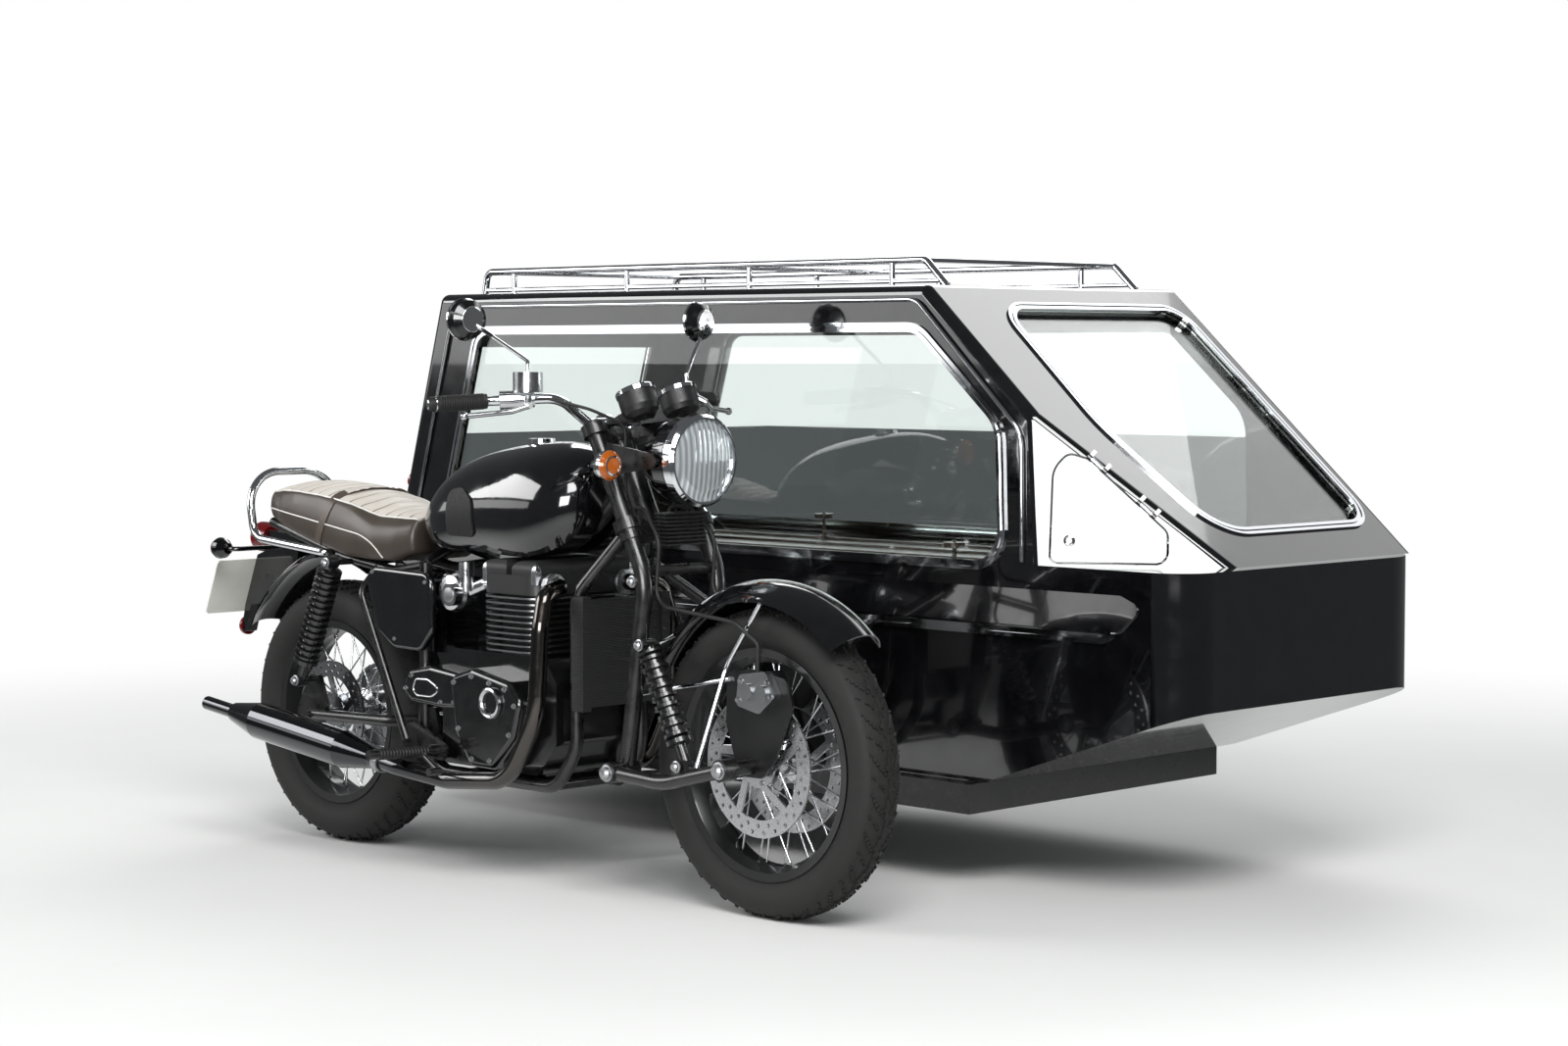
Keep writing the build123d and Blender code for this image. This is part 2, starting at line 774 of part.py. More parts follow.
def make_handlebar():
    top = YOKE_SPAN + YOKE_THICKNESS + SEAT_GAP
    middle = steer(top + 24, 4, 0) - at(0, 0, 0)
    centre = (middle.X, 82.0, middle.Z)
    rights = [bar_point(place, -1) for place in (BAR_END, BAR_SWEEP, BAR_RISE, centre)]
    lefts = [bar_point(place, 1) for place in (centre, BAR_RISE, BAR_SWEEP, BAR_END)]
    bar = pipe(rights + lefts, BAR_RADIUS, [60, 60, 40, 40, 60, 60])
    risers = []
    for side in (-1, 1):
        foot = steer(top, 4, side * BAR_CLAMP_Y)
        risers.append(rod(foot, foot + STEER_UP * 26, 13))
        clamp = steer(top + 24, 4, side * BAR_CLAMP_Y)
        risers.append(rod(clamp - SIDEWAYS * 13, clamp + SIDEWAYS * 13, 19))
    write("handlebar", fused(bar, *risers))


def sleeve(start, way, near, far, radius):
    """A tube round the handlebar, from near to far along it."""
    inner = BAR_RADIUS + SEAT_GAP
    return turned([(inner, near), (radius, near), (radius, far), (inner, far)], start, way)


POT_LIFT = 16.0
PERCH_END = 92.0
BRAKE_POT_RADIUS = 33.0
BRAKE_POT_HEIGHT = 44.0
CLUTCH_PERCH_RADIUS = 15.0
CLUTCH_PERCH_HEIGHT = 12.0


def pot_height(side):
    return BRAKE_POT_HEIGHT if side < 0 else CLUTCH_PERCH_HEIGHT


def pot_radius(side):
    return BRAKE_POT_RADIUS if side < 0 else CLUTCH_PERCH_RADIUS


def make_hand_controls():
    def grip(side):
        end = bar_point(BAR_END, side)
        way = bar_point(BAR_SWEEP, side) - end
        profile = [
            (0, -20),
            (13, -20),
            (GRIP_RADIUS, -14),
            (GRIP_RADIUS, -SEAT_GAP),
            (0, -SEAT_GAP),
        ]
        cap = turned(profile, end, way)
        return fused(cap, sleeve(end, way, -SEAT_GAP, GRIP_LENGTH, GRIP_RADIUS))

    def switches(side):
        bend = bar_point(BAR_SWEEP, side)
        way = bar_point(BAR_RISE, side) - bend
        unit = way.normalized()
        ahead = UPWARD.cross(unit) * side
        housing = sleeve(bend, way, 16, 62, 21)
        perch = sleeve(bend, way, 61, PERCH_END, 18)
        grip_point = bend + unit * 78
        knuckle = grip_point + ahead * 46 - UPWARD * 14
        arm = rod(grip_point + ahead * 19, knuckle, 9)
        blade = pipe(
            [knuckle, at(975, side * 300, 1081), at(935, side * 396, 1072)], 6, 60
        )
        ball = Pos(*at(935, side * 398, 1072)) * Sphere(9)
        pot_foot = grip_point + UPWARD * POT_LIFT
        pot = rod(pot_foot, pot_foot + UPWARD * pot_height(side), pot_radius(side))
        return fused(housing, perch, arm, blade, ball, pot)

    write("hand_grips", *both_sides(grip))
    write("hand_levers", *both_sides(switches))


HOSE_RADIUS = 4.5
CABLE_RADIUS = 3.5


def make_fork_hoses():
    """The brake hoses, from unions on the lower yoke, past the brace and over to the calipers."""

    def hose(side):
        route = [
            steer(SEAT_GAP, 20, side * 50),
            steer(40, 20, side * 50),
            at(1150, side * 70, 868),
            at(BRACE_X + 23, side * 84, 800),
            at(BRACE_X + 11, side * 86, 660),
            at(WHEELBASE - 20, side * 104, 640),
            at(WHEELBASE + 34, side * 86, 596),
            at(WHEELBASE + 30, side * 84, 536.6),
        ]
        return pipe(route, HOSE_RADIUS, [12, 30, 50, 44, 30, 20])

    write("fork_hoses", *both_sides(hose))


def make_control_cables():
    """The cables from the lever perches, past the instruments, down to the lower yoke."""

    def cable(side):
        bend = bar_point(BAR_SWEEP, side)
        unit = (bar_point(BAR_RISE, side) - bend).normalized()
        ahead = UPWARD.cross(unit) * side
        start = bend + unit * (PERCH_END + SEAT_GAP) + ahead * (BAR_RADIUS + CABLE_RADIUS + SEAT_GAP)
        route = [
            start,
            start + unit * 30,
            at(1062, side * 150, 1086),
            at(1097, side * 76, 1052),
            steer(40, 22, side * 72),
            steer(SEAT_GAP, 22, side * 72),
        ]
        return pipe(route, CABLE_RADIUS, [30, 50, 30, 20])

    write("control_cables", *both_sides(cable))


MIRROR = (892.0, 350.0, 1282.0)
MIRROR_RADIUS = 46.0


def make_mirrors():
    def mirror(side):
        centre = bar_point(MIRROR, side)
        facing = Vector(-1, -side * 0.12, 0.02)
        cup = turned(
            [(0, -20), (26, -18), (42, -6), (MIRROR_RADIUS, 6), (MIRROR_RADIUS, 14), (0, 14)],
            centre,
            facing,
        )
        bend = bar_point(BAR_SWEEP, side)
        unit = (bar_point(BAR_RISE, side) - bend).normalized()
        root = bend + unit * 78 + UPWARD * (POT_LIFT + pot_height(side) + SEAT_GAP)
        elbow = at(915, side * 334, 1262)
        stalk = pipe([root, root + UPWARD * 24, elbow, centre - facing * 4], 4.5, [14, 20])
        return fused(cup, stalk)

    write("mirrors", *both_sides(mirror))


def make_front_indicators():
    def lamp(side):
        return turned(
            [
                (0, -INDICATOR_BACK),
                (17, -30),
                (30, -14),
                (33, -2),
                (33, 8),
                (27, 16),
                (14, 20),
                (0, 21),
            ],
            at(INDICATOR_X, side * INDICATOR_Y, INDICATOR_Z),
            FORWARD,
        )

    write("front_indicators", *both_sides(lamp))


FIN_COUNT = 9
FIN_PITCH = 8.5


def make_regulator():
    core = block((1180, 1198), (-50, 50), (787, 860))
    fins = []
    for count in range(FIN_COUNT):
        low = 788 + FIN_PITCH * count
        fins.append(block((1172, 1214), (-58, 58), (low, low + 3)))
    yoke_edge = steer(-YOKE_THICKNESS, YOKE_BOSS_RADIUS, 0) - at(0, 0, 0)
    bracket = block((yoke_edge.X + SEAT_GAP, 1182), (-14, 14), (800, 814))
    write("finned_regulator", fused(core, bracket, *fins))


# Motorcycle frame

TUBE_RADIUS = 15.0
CRADLE_Y = 112.0
CRADLE_Z = 230.0
DOWNTUBE_X = 958.0
BACKBONE_RADIUS = 22.0
RAIL_RADIUS = 12.0
PIVOT_X = 450.0
PIVOT_Z = 335.0
PIVOT_PIN_RADIUS = 9.0
REAR_SHOCK_TOP = (140.0, 704.0)
REAR_SHOCK_FOOT = (12.0, 410.0)
REAR_SHOCK_Y = 165.0
REAR_COIL_RADIUS = 31.0
REAR_COIL_TURNS = 14
HANGER_Y = 146.0
PEG_X = 525.0
PEG_Z = 283.0
PEG_END_Y = 352.0
PEG_RISE = 8.0
PEG_BOSS = 22.0
PEG_RADIUS = 11.0
TAIL_TUBE_Z = 784.0


def backbone(radius):
    """The tube under the tank, from the steering head to the seat."""
    return pipe([steer(120, -8, 0), at(900, 0, 812), at(425, 0, 768)], radius, 90)


def make_main_frame():
    head = rod(steer(1, 0, 0), steer(YOKE_SPAN - 1, 0, 0), HEADSTOCK_RADIUS)
    bore = rod(steer(-5, 0, 0), steer(YOKE_SPAN + 5, 0, 0), STEM_RADIUS + 1)
    parts = [head]
    parts.append(backbone(BACKBONE_RADIUS))
    for side in (-1, 1):
        cradle = [
            steer(30, -6, side * 14),
            at(DOWNTUBE_X, side * 98, 668),
            at(DOWNTUBE_X, side * 98, 320),
            at(905, side * CRADLE_Y, CRADLE_Z),
            at(500, side * CRADLE_Y, CRADLE_Z),
            at(432, side * CRADLE_Y, 300),
            at(432, side * 108, 716),
        ]
        parts.append(pipe(cradle, TUBE_RADIUS, [80, 110, 60, 60, 60]))
        parts.append(rod(at(432, side * 108, 716), at(427, 0, 756), TUBE_RADIUS - 2))
        rail = [
            at(432, side * 106, 708),
            at(300, side * 94, 688),
            at(100, side * 94, 712),
            at(-205, side * 88, 786),
        ]
        parts.append(pipe(rail, RAIL_RADIUS, [160, 160]))
        top = at(REAR_SHOCK_TOP[0], side * 90, REAR_SHOCK_TOP[1])
        reach = at(REAR_SHOCK_TOP[0], side * (REAR_SHOCK_Y + 20), REAR_SHOCK_TOP[1])
        parts.append(rod(top, reach, SHOCK_PIN_RADIUS))
        strut = [at(236, side * 100, 694), at(246, side * 158, 640), at(418, side * 158, 300)]
        parts.append(pipe(strut, 9, 40))
        hanger = plate(
            [(392, 330), (440, 344), (480, 330), (562, 296), (552, 262), (470, 262), (400, 280)],
            span(side, HANGER_Y, HANGER_Y + 8),
            10,
        )
        parts.append(hanger)
        parts.append(rod(at(432, side * CRADLE_Y, 310), at(432, side * (HANGER_Y + 4), 310), 9))
        parts.append(rod(at(470, side * CRADLE_Y, 262), at(470, side * (HANGER_Y + 4), 275), 8))
        parts.append(
            plate(
                [(408, 376), (470, 376), (486, 320), (462, 262), (430, 262), (408, 320)],
                span(side, 104, 114),
                8,
            )
        )
    parts.append(rod(at(-197, -88, TAIL_TUBE_Z), at(-197, 88, TAIL_TUBE_Z), 9))
    parts.append(rod(at(432, -108, 600), at(432, 108, 600), 10))
    parts.append(rod(at(576, -CRADLE_Y, CRADLE_Z), at(576, CRADLE_Y, CRADLE_Z), 11))
    parts.append(rod(at(881, -CRADLE_Y, CRADLE_Z), at(881, CRADLE_Y, CRADLE_Z), 11))
    pivot = rod(at(PIVOT_X, -116, PIVOT_Z), at(PIVOT_X, 116, PIVOT_Z), PIVOT_PIN_RADIUS)
    write("main_frame", fused(*parts).cut(bore).fuse(pivot))


ARM_Y = 120.0
ARM_RADIUS = 14.0


def make_swingarm():
    parts = []
    for side in (-1, 1):
        arm = [
            at(PIVOT_X, side * 76, PIVOT_Z),
            at(388, side * 80, PIVOT_Z),
            at(304, side * ARM_Y, 330),
            at(-10, side * ARM_Y, REAR_TYRE_RADIUS),
        ]
        parts.append(pipe(arm, ARM_RADIUS, [60, 60]))
        parts.append(
            plate(
                [(-58, 306), (40, 300), (60, 346), (30, 420), (-4, 420), (-50, 344)],
                span(side, ARM_Y - 7, ARM_Y + 7),
                8,
            )
        )
        foot = at(REAR_SHOCK_FOOT[0], side * ARM_Y, REAR_SHOCK_FOOT[1])
        tip = at(REAR_SHOCK_FOOT[0], side * (REAR_SHOCK_Y + 20), REAR_SHOCK_FOOT[1])
        parts.append(rod(foot, tip, SHOCK_PIN_RADIUS))
        spacer = REAR_AXLE + SIDEWAYS * side * (SPROCKET_Y + SPROCKET_THICKNESS + 4)
        parts.append(rod(spacer, REAR_AXLE + SIDEWAYS * side * (ARM_Y - 5), AXLE_RADIUS + 6))
    tube = rod(at(PIVOT_X, -94, PIVOT_Z), at(PIVOT_X, 94, PIVOT_Z), 22)
    bore = rod(at(PIVOT_X, -105, PIVOT_Z), at(PIVOT_X, 105, PIVOT_Z), PIVOT_PIN_RADIUS + SEAT_GAP)
    parts.append(rod(at(392, -78, PIVOT_Z), at(392, 78, PIVOT_Z), 17))
    axle = rod(REAR_AXLE - SIDEWAYS * (ARM_Y + 22), REAR_AXLE + SIDEWAYS * (ARM_Y + 22), AXLE_RADIUS)
    write("swingarm", fused(tube, *parts).cut(bore).fuse(axle))


def make_rear_shocks():
    def shock(side):
        top = at(REAR_SHOCK_TOP[0], side * REAR_SHOCK_Y, REAR_SHOCK_TOP[1])
        foot = at(REAR_SHOCK_FOOT[0], side * REAR_SHOCK_Y, REAR_SHOCK_FOOT[1])
        return coil_shock(top, foot, REAR_COIL_RADIUS, REAR_COIL_TURNS, 15)

    write("rear_shocks", *both_sides(shock))


CHAIN_Y = (SPROCKET_Y - 4, SPROCKET_Y + SPROCKET_THICKNESS + 4)
CHAIN_GAP = 2.0
CHAIN_HEIGHT = 13.0
FRONT_SPROCKET_RADIUS = 36.0
FRONT_SPROCKET_X = 545.0


def make_chain():
    def loop(extra):
        rear = Pos(0, REAR_TYRE_RADIUS) * Circle(SPROCKET_RADIUS + extra)
        front = Pos(FRONT_SPROCKET_X, PIVOT_Z) * Circle(FRONT_SPROCKET_RADIUS + extra)
        return make_hull(rear.edges() + front.edges())

    band = loop(CHAIN_GAP + CHAIN_HEIGHT) - loop(CHAIN_GAP)
    width = CHAIN_Y[1] - CHAIN_Y[0]
    write("drive_chain", extrude(side_plane(CHAIN_Y[0]) * band, amount=width, dir=(0, 1, 0)))


# Engine

CYLINDER_X = 785.0
FIN_LENGTH = 208.0
FIN_WIDTH = 324.0
CYLINDER_FINS = 10
CYLINDER_FIN_PITCH = 13.5
CYLINDER_BASE_Z = 526.0
HEAD_Z = 664.0
HEAD_LENGTH = 196.0


def softened(cover, side, radius):
    """A cover with the edges of its outer face rounded; side is -1 on the right, +1 on the left."""
    face = cover.faces().sort_by(Axis.Y)[-1 if side > 0 else 0]
    return fillet(face.edges(), radius)


def make_engine():
    crank = plate(
        [(520, 254), (860, 254), (924, 330), (924, 470), (884, 525), (560, 525), (520, 500)],
        (-130, 130),
        16,
    )
    gearbox = plate([(476, 300), (530, 256), (540, 500), (486, 470)], (-92, 74), 12)
    clutch = plate(
        [(618, 468), (700, 492), (830, 468), (872, 425), (850, 340), (775, 264), (690, 264), (636, 340)],
        (-192, -128),
        26,
    )
    gear_cover = plate(
        [(412, 420), (440, 468), (520, 482), (650, 470), (650, 392), (560, 386), (450, 392)],
        (-170, -128.5),
        16,
    )
    clutch = softened(clutch, -1, 14)
    gear_cover = softened(gear_cover, -1, 12)
    clutch_cap = turned(
        [(0, -4), (36, -4), (36, 5), (32, 8), (28, 8), (26, 4), (0, 4)],
        at(772, -190, 418),
        -SIDEWAYS,
    )
    left_cover = softened(rod(at(800, 128, 395), at(800, 186, 395), 88), 1, 18)
    left_cap = turned(
        [(0, -4), (40, -4), (40, 5), (36, 8), (31, 8), (29, 4), (0, 4)],
        at(800, 186, 395),
        SIDEWAYS,
    )
    sprocket_cover = plate(
        [(494, 420), (600, 452), (660, 430), (660, 280), (600, 262), (500, 280)],
        (CHAIN_Y[1] + MOVING_GAP, 144),
        20,
    )
    sprocket_cover = softened(sprocket_cover, 1, 10)
    sump = block((600, 840), (-90, 90), (215, 260))
    chain_slot = block(
        (440, FRONT_SPROCKET_X + FRONT_SPROCKET_RADIUS + CHAIN_HEIGHT + CHAIN_GAP + MOVING_GAP),
        (CHAIN_Y[0] - MOVING_GAP, CHAIN_Y[1] + MOVING_GAP),
        (PIVOT_Z - 62, PIVOT_Z + 62),
    )
    sprocket = rod(
        at(FRONT_SPROCKET_X, CHAIN_Y[0] - MOVING_GAP - 4, PIVOT_Z),
        at(FRONT_SPROCKET_X, CHAIN_Y[1] - 2, PIVOT_Z),
        FRONT_SPROCKET_RADIUS,
    )
    case = fused(
        crank, gearbox, clutch, gear_cover, clutch_cap, left_cover, left_cap, sprocket_cover, sump
    )
    write("engine_case", case.cut(chain_slot).fuse(sprocket))


def rounded_slab(length, width, corner, low, high):
    face = Pos(*at(CYLINDER_X, 0, low)) * RectangleRounded(length, width, corner)
    return extrude(face, amount=high - low, dir=(0, 0, 1))


def make_cylinders():
    parts = [rounded_slab(160, 270, 60, CYLINDER_BASE_Z - 0.7, HEAD_Z + 2)]
    for count in range(CYLINDER_FINS):
        low = CYLINDER_BASE_Z + 7 + CYLINDER_FIN_PITCH * count
        parts.append(rounded_slab(FIN_LENGTH, FIN_WIDTH, 58, low, low + 4))
    parts.append(rounded_slab(HEAD_LENGTH, 310, 40, HEAD_Z, HEAD_Z + 44))
    for x in (-50, 52):
        cover = Pos(*at(CYLINDER_X + x, 0, HEAD_Z + 24)) * Box(
            84, 300, 52, align=(Align.CENTER, Align.CENTER, Align.MIN)
        )
        top = cover.faces().sort_by(Axis.Z)[-1]
        parts.append(fillet(top.edges(), 22))
    parts.append(
        Pos(*at(CYLINDER_X, 0, HEAD_Z + 20)) * Box(80, 230, 30, align=(Align.CENTER, Align.CENTER, Align.MIN))
    )
    write("cylinders", fused(*parts))


def make_throttle_bodies():
    def body(side):
        outward = SIDEWAYS * side
        dome = turned(
            [(0, -34), (44, -34), (46, 0), (40, 14), (22, 20), (0, 20)],
            at(576, side * 138, 655),
            outward,
        )
        cap = rod(at(596, side * 150, 652), at(596, side * 172, 652), 26)
        head_side = CYLINDER_X - HEAD_LENGTH / 2 - SEAT_GAP
        intake = pipe(
            [
                at(600, side * 124, 655),
                at(650, side * 100, HEAD_Z + 14),
                at(head_side, side * 100, HEAD_Z + 14),
            ],
            18,
            30,
        )
        barrel = rod(at(612, side * 132, 660), at(612, side * 132, 728), 18)
        return fused(dome, cap, intake, barrel)

    write("throttle_bodies", *both_sides(body))


HEADER_RADIUS = 20.0
SILENCER_Y = 250.0
SILENCER_RADIUS = 45.0
SILENCER_FRONT = (452.0, 258.0)
SILENCER_REAR = (-263.0, 338.0)


def silencer_end(place, side):
    return at(place[0], side * SILENCER_Y, place[1])


def silencer_way():
    return (silencer_end(SILENCER_REAR, 1) - silencer_end(SILENCER_FRONT, 1)).normalized()


def make_exhaust():
    def header(side):
        path = [
            at(CYLINDER_X + HEAD_LENGTH / 2 + SEAT_GAP, side * 110, 684),
            at(922, side * 110, 684),
            at(941, side * 176, 672),
            at(948, side * 196, 600),
            at(936, side * 200, 400),
            at(850, side * 206, 250),
            at(640, side * 214, 231),
            silencer_end(SILENCER_FRONT, side) - silencer_way() * 44,
            silencer_end(SILENCER_FRONT, side),
        ]
        return pipe(path, HEADER_RADIUS, [24, 34, 60, 200, 110, 90, 120])

    def silencer(side):
        front = silencer_end(SILENCER_FRONT, side)
        rear = silencer_end(SILENCER_REAR, side)
        length = (rear - front).length
        return turned(
            [
                (0, SEAT_GAP),
                (HEADER_RADIUS + 2, SEAT_GAP),
                (HEADER_RADIUS + 3, 40),
                (SILENCER_RADIUS, 150),
                (SILENCER_RADIUS, length - 230),
                (24, length - 122),
                (17, length - 116),
                (17, length),
                (13, length),
                (13, length - 60),
                (0, length - 60),
            ],
            front,
            rear - front,
        )

    write("exhaust_headers", *both_sides(header))
    write("silencers", *both_sides(silencer))


RADIATOR_X = 986.0


def make_radiator():
    core = block((RADIATOR_X, RADIATOR_X + 26), (-110, 110), (420, 660))
    parts = [core]
    for side in (-1, 1):
        parts.append(block((RADIATOR_X - 6, RADIATOR_X + 32), span(side, 108, 132), (412, 668)))
        for low in (440, 600):
            bracket_x = (DOWNTUBE_X + TUBE_RADIUS + SEAT_GAP, RADIATOR_X + 2)
            parts.append(block(bracket_x, (side * 98 - 8, side * 98 + 8), (low, low + 20)))
    write("radiator", fused(*parts))


# Tank, seat and panels

def tank_section(x, low, high, half_low, half, half_top, shoulder):
    """One cross-section of the tank as a closed outline of lines and arcs."""
    widest = low + (shoulder - low) * 0.45
    plane = Plane(origin=at(x, 0, 0), x_dir=(0, 1, 0), z_dir=(1, 0, 0))
    edges = [
        Line((-half_low, low), (half_low, low)),
        ThreePointArc((half_low, low), (half, widest), (half_top, shoulder)),
        ThreePointArc((half_top, shoulder), (0, high), (-half_top, shoulder)),
        ThreePointArc((-half_top, shoulder), (-half, widest), (-half_low, low)),
    ]
    return make_face(plane * Wire(edges))


TANK_SECTIONS = [
    # ahead of the rear axle, underside, top, half width below, at its widest, at the shoulder, shoulder height
    (392, 792, 848, 62, 74, 54, 830),
    (430, 770, 905, 92, 106, 82, 868),
    (560, 752, 972, 116, 138, 112, 918),
    (740, 748, 1003, 122, 150, 120, 942),
    (880, 764, 1000, 108, 140, 108, 946),
    (935, 800, 976, 78, 112, 80, 934),
    (958, 842, 936, 42, 66, 44, 912),
]


KNEE_PAD_OUTLINE = [
    # ahead of the rear axle, height
    (548, 786),
    (548, 892),
    (600, 900),
    (648, 872),
    (652, 796),
    (640, 786),
]
KNEE_PAD_CORNERS = [12, 22, 40, 34, 12, 6]
KNEE_PAD_THICKNESS = 5.0


def tank_shell(growth):
    """The tank's outer form, its widths and its top grown by an amount."""
    sections = []
    for x, low, high, half_low, half, half_top, shoulder in TANK_SECTIONS:
        widths = (half_low + growth, half + growth, half_top + growth)
        sections.append(tank_section(x, low, high + growth, *widths, shoulder))
    return loft(sections)


def make_knee_pads():
    outline = FilletPolyline(*KNEE_PAD_OUTLINE, radius=KNEE_PAD_CORNERS, close=True)
    prism = extruded(make_face(outline), side_plane(200), 400)
    sheet = (tank_shell(KNEE_PAD_THICKNESS) & prism) - tank_shell(SEAT_GAP)
    write("knee_pads", sheet)


def make_tank():
    shell = tank_shell(0)
    half = BACKBONE_RADIUS + SEAT_GAP
    tunnel = plate(
        [(380, 700), (990, 700), (990, 889), (900, 812), (380, 763.8)], (-half - 2, half + 2)
    )
    cap = rod(at(727, 0, 985), at(727, 0, 1012), 30)
    write("fuel_tank", fused(shell, cap).cut(tunnel, backbone(half)))


SEAT_OUTLINE = [
    # ahead of the rear axle, height: round the seat from its front foot
    (384, 728),
    (300, 701.8),
    (100, 725),
    (-205, 798.7),
    (-232, 832),
    (-210, 874),
    (-60, 893),
    (150, 868),
    (250, 838),
    (386, 832),
]


def make_seat():
    body = plate(SEAT_OUTLINE, (-140, 140))
    plan = make_face(
        FilletPolyline(
            at(390, -96, 0),
            at(240, -132, 0),
            at(60, -138, 0),
            at(-150, -122, 0),
            at(-236, -90, 0),
            at(-236, 90, 0),
            at(-150, 122, 0),
            at(60, 138, 0),
            at(240, 132, 0),
            at(390, 96, 0),
            radius=20,
            close=True,
        )
    )
    write("seat", body & extrude(plan, amount=1100, dir=(0, 0, 1)))


SIDE_PANEL_Y = 150.0
AIRBOX_HALF = 88.0


SIDE_PANEL_CORNER = 34.0
SIDE_PANEL_THICKNESS = 16.0
SIDE_PANEL_EDGE = 9.0


def make_side_panels():
    def panel(side):
        pressing = plate(
            [
                (262, 704),
                (521, 697),
                (523, 560),
                (480, 512),
                (380, 514),
                (318, 552),
            ],
            span(side, SIDE_PANEL_Y, SIDE_PANEL_Y + SIDE_PANEL_THICKNESS),
            SIDE_PANEL_CORNER,
        )
        return softened(pressing, side, SIDE_PANEL_EDGE)

    def boss(side, x, z):
        return rod(at(x, side * (AIRBOX_HALF - 4), z), at(x, side * (SIDE_PANEL_Y + 2), z), 7)

    box = block((340, 512), (-AIRBOX_HALF, AIRBOX_HALF), (504, 670))
    parts = [box]
    for side in (-1, 1):
        parts.append(panel(side))
        parts.append(boss(side, 380, 560))
        parts.append(boss(side, 500, 640))
    clearance = []
    for side in (-1, 1):
        clearance.append(rod(at(432, side * 108, 480), at(432, side * 108, 720), TUBE_RADIUS + 1))
    bar = rod(at(432, -110, 600), at(432, 110, 600), 10 + SEAT_GAP)
    write("side_panels", fused(*parts).cut(bar, *clearance))


REAR_GUARD_CROWN = 415.0
TAIL_Z = 738.0
TAIL_LAMP_X = -332.0
TAIL_INDICATOR_X = -318.0
TAIL_INDICATOR_Y = 165.0
TAIL_INDICATOR_Z = 718.0
TAIL_INDICATOR_DEPTH = 32.0
REFLECTOR_X = -440.0
PLATE_X = -408.0
PLATE_Z = 612.0
PLATE_TILT = 23.0


def plate_rest(z):
    """The face that the number plate rests against, at a height."""
    return PLATE_X + (z - PLATE_Z) * tan(radians(PLATE_TILT)) + SEAT_GAP / cos(radians(PLATE_TILT))


def make_rear_mudguard():
    sheet = mudguard(REAR_AXLE, REAR_GUARD_CROWN, 384, 72, 150, 84)
    lamp_seat = TAIL_LAMP_X + SEAT_GAP
    tail = plate(
        [
            (-205, 679),
            (-184, 758),
            (-184, TAIL_TUBE_Z - 9 - SEAT_GAP),
            (-212, TAIL_TUBE_Z - 9 - SEAT_GAP),
            (-240, 752),
            (-300, 756),
            (lamp_seat, 756),
            (lamp_seat, 706),
            (plate_rest(692), 692),
            (plate_rest(560), 560),
            (REFLECTOR_X + SEAT_GAP, 520),
            (REFLECTOR_X + SEAT_GAP, 490),
            (REFLECTOR_X + 9, 490),
            (-404, 562),
            (-330, 650),
            (-270, 633),
        ],
        (-18, 18),
        4,
    )

    def stem(side):
        y = side * TAIL_INDICATOR_Y
        end = at(TAIL_INDICATOR_X + TAIL_INDICATOR_DEPTH + SEAT_GAP, y, TAIL_INDICATOR_Z)
        return pipe([at(-262, side * 10, TAIL_INDICATOR_Z), at(-262, y, TAIL_INDICATOR_Z), end], 6, 12)

    write("rear_mudguard", fused(sheet, tail, *both_sides(stem)))


def make_rear_lamps():
    tail = turned(
        [(0, 0), (30, 0), (34, 12), (38, 30), (38, 44), (24, 54), (0, 56)],
        at(TAIL_LAMP_X, 0, TAIL_Z),
        -FORWARD,
    )

    def bullet(side):
        return turned(
            [(0, -TAIL_INDICATOR_DEPTH), (14, -28), (25, -8), (27, 6), (22, 18), (0, 20)],
            at(TAIL_INDICATOR_X, side * TAIL_INDICATOR_Y, TAIL_INDICATOR_Z),
            -FORWARD,
        )

    reflector = rod(at(REFLECTOR_X, 0, 505), at(REFLECTOR_X - 9, 0, 505), 24)
    write("rear_lamps", tail, *both_sides(bullet), reflector)


PLATE_WIDTH = 268.0
PLATE_HEIGHT = 150.0


def make_number_plate():
    facing = Vector(-cos(radians(PLATE_TILT)), 0, sin(radians(PLATE_TILT)))
    plane = Plane(origin=at(PLATE_X, 0, PLATE_Z), x_dir=(0, 1, 0), z_dir=facing)
    face = RectangleRounded(PLATE_WIDTH, PLATE_HEIGHT, 10)
    write("number_plate", extrude(plane * face, amount=3, dir=facing))


HOOP_Z = 910.0
HOOP_CORNER = 98.0
HOOP_FOOT_BEND = 48.0


def make_grab_rail():
    path = [
        at(60, -107.4, 720),
        at(56, -128, 724),
        at(-215, -138, 748),
        at(-252, -134, HOOP_Z),
        at(-252, 134, HOOP_Z),
        at(-215, 138, 748),
        at(56, 128, 724),
        at(60, 107.4, 720),
    ]
    corners = [12, HOOP_FOOT_BEND, HOOP_CORNER, HOOP_CORNER, HOOP_FOOT_BEND, 12]
    write("grab_rail", pipe(path, 10, corners))


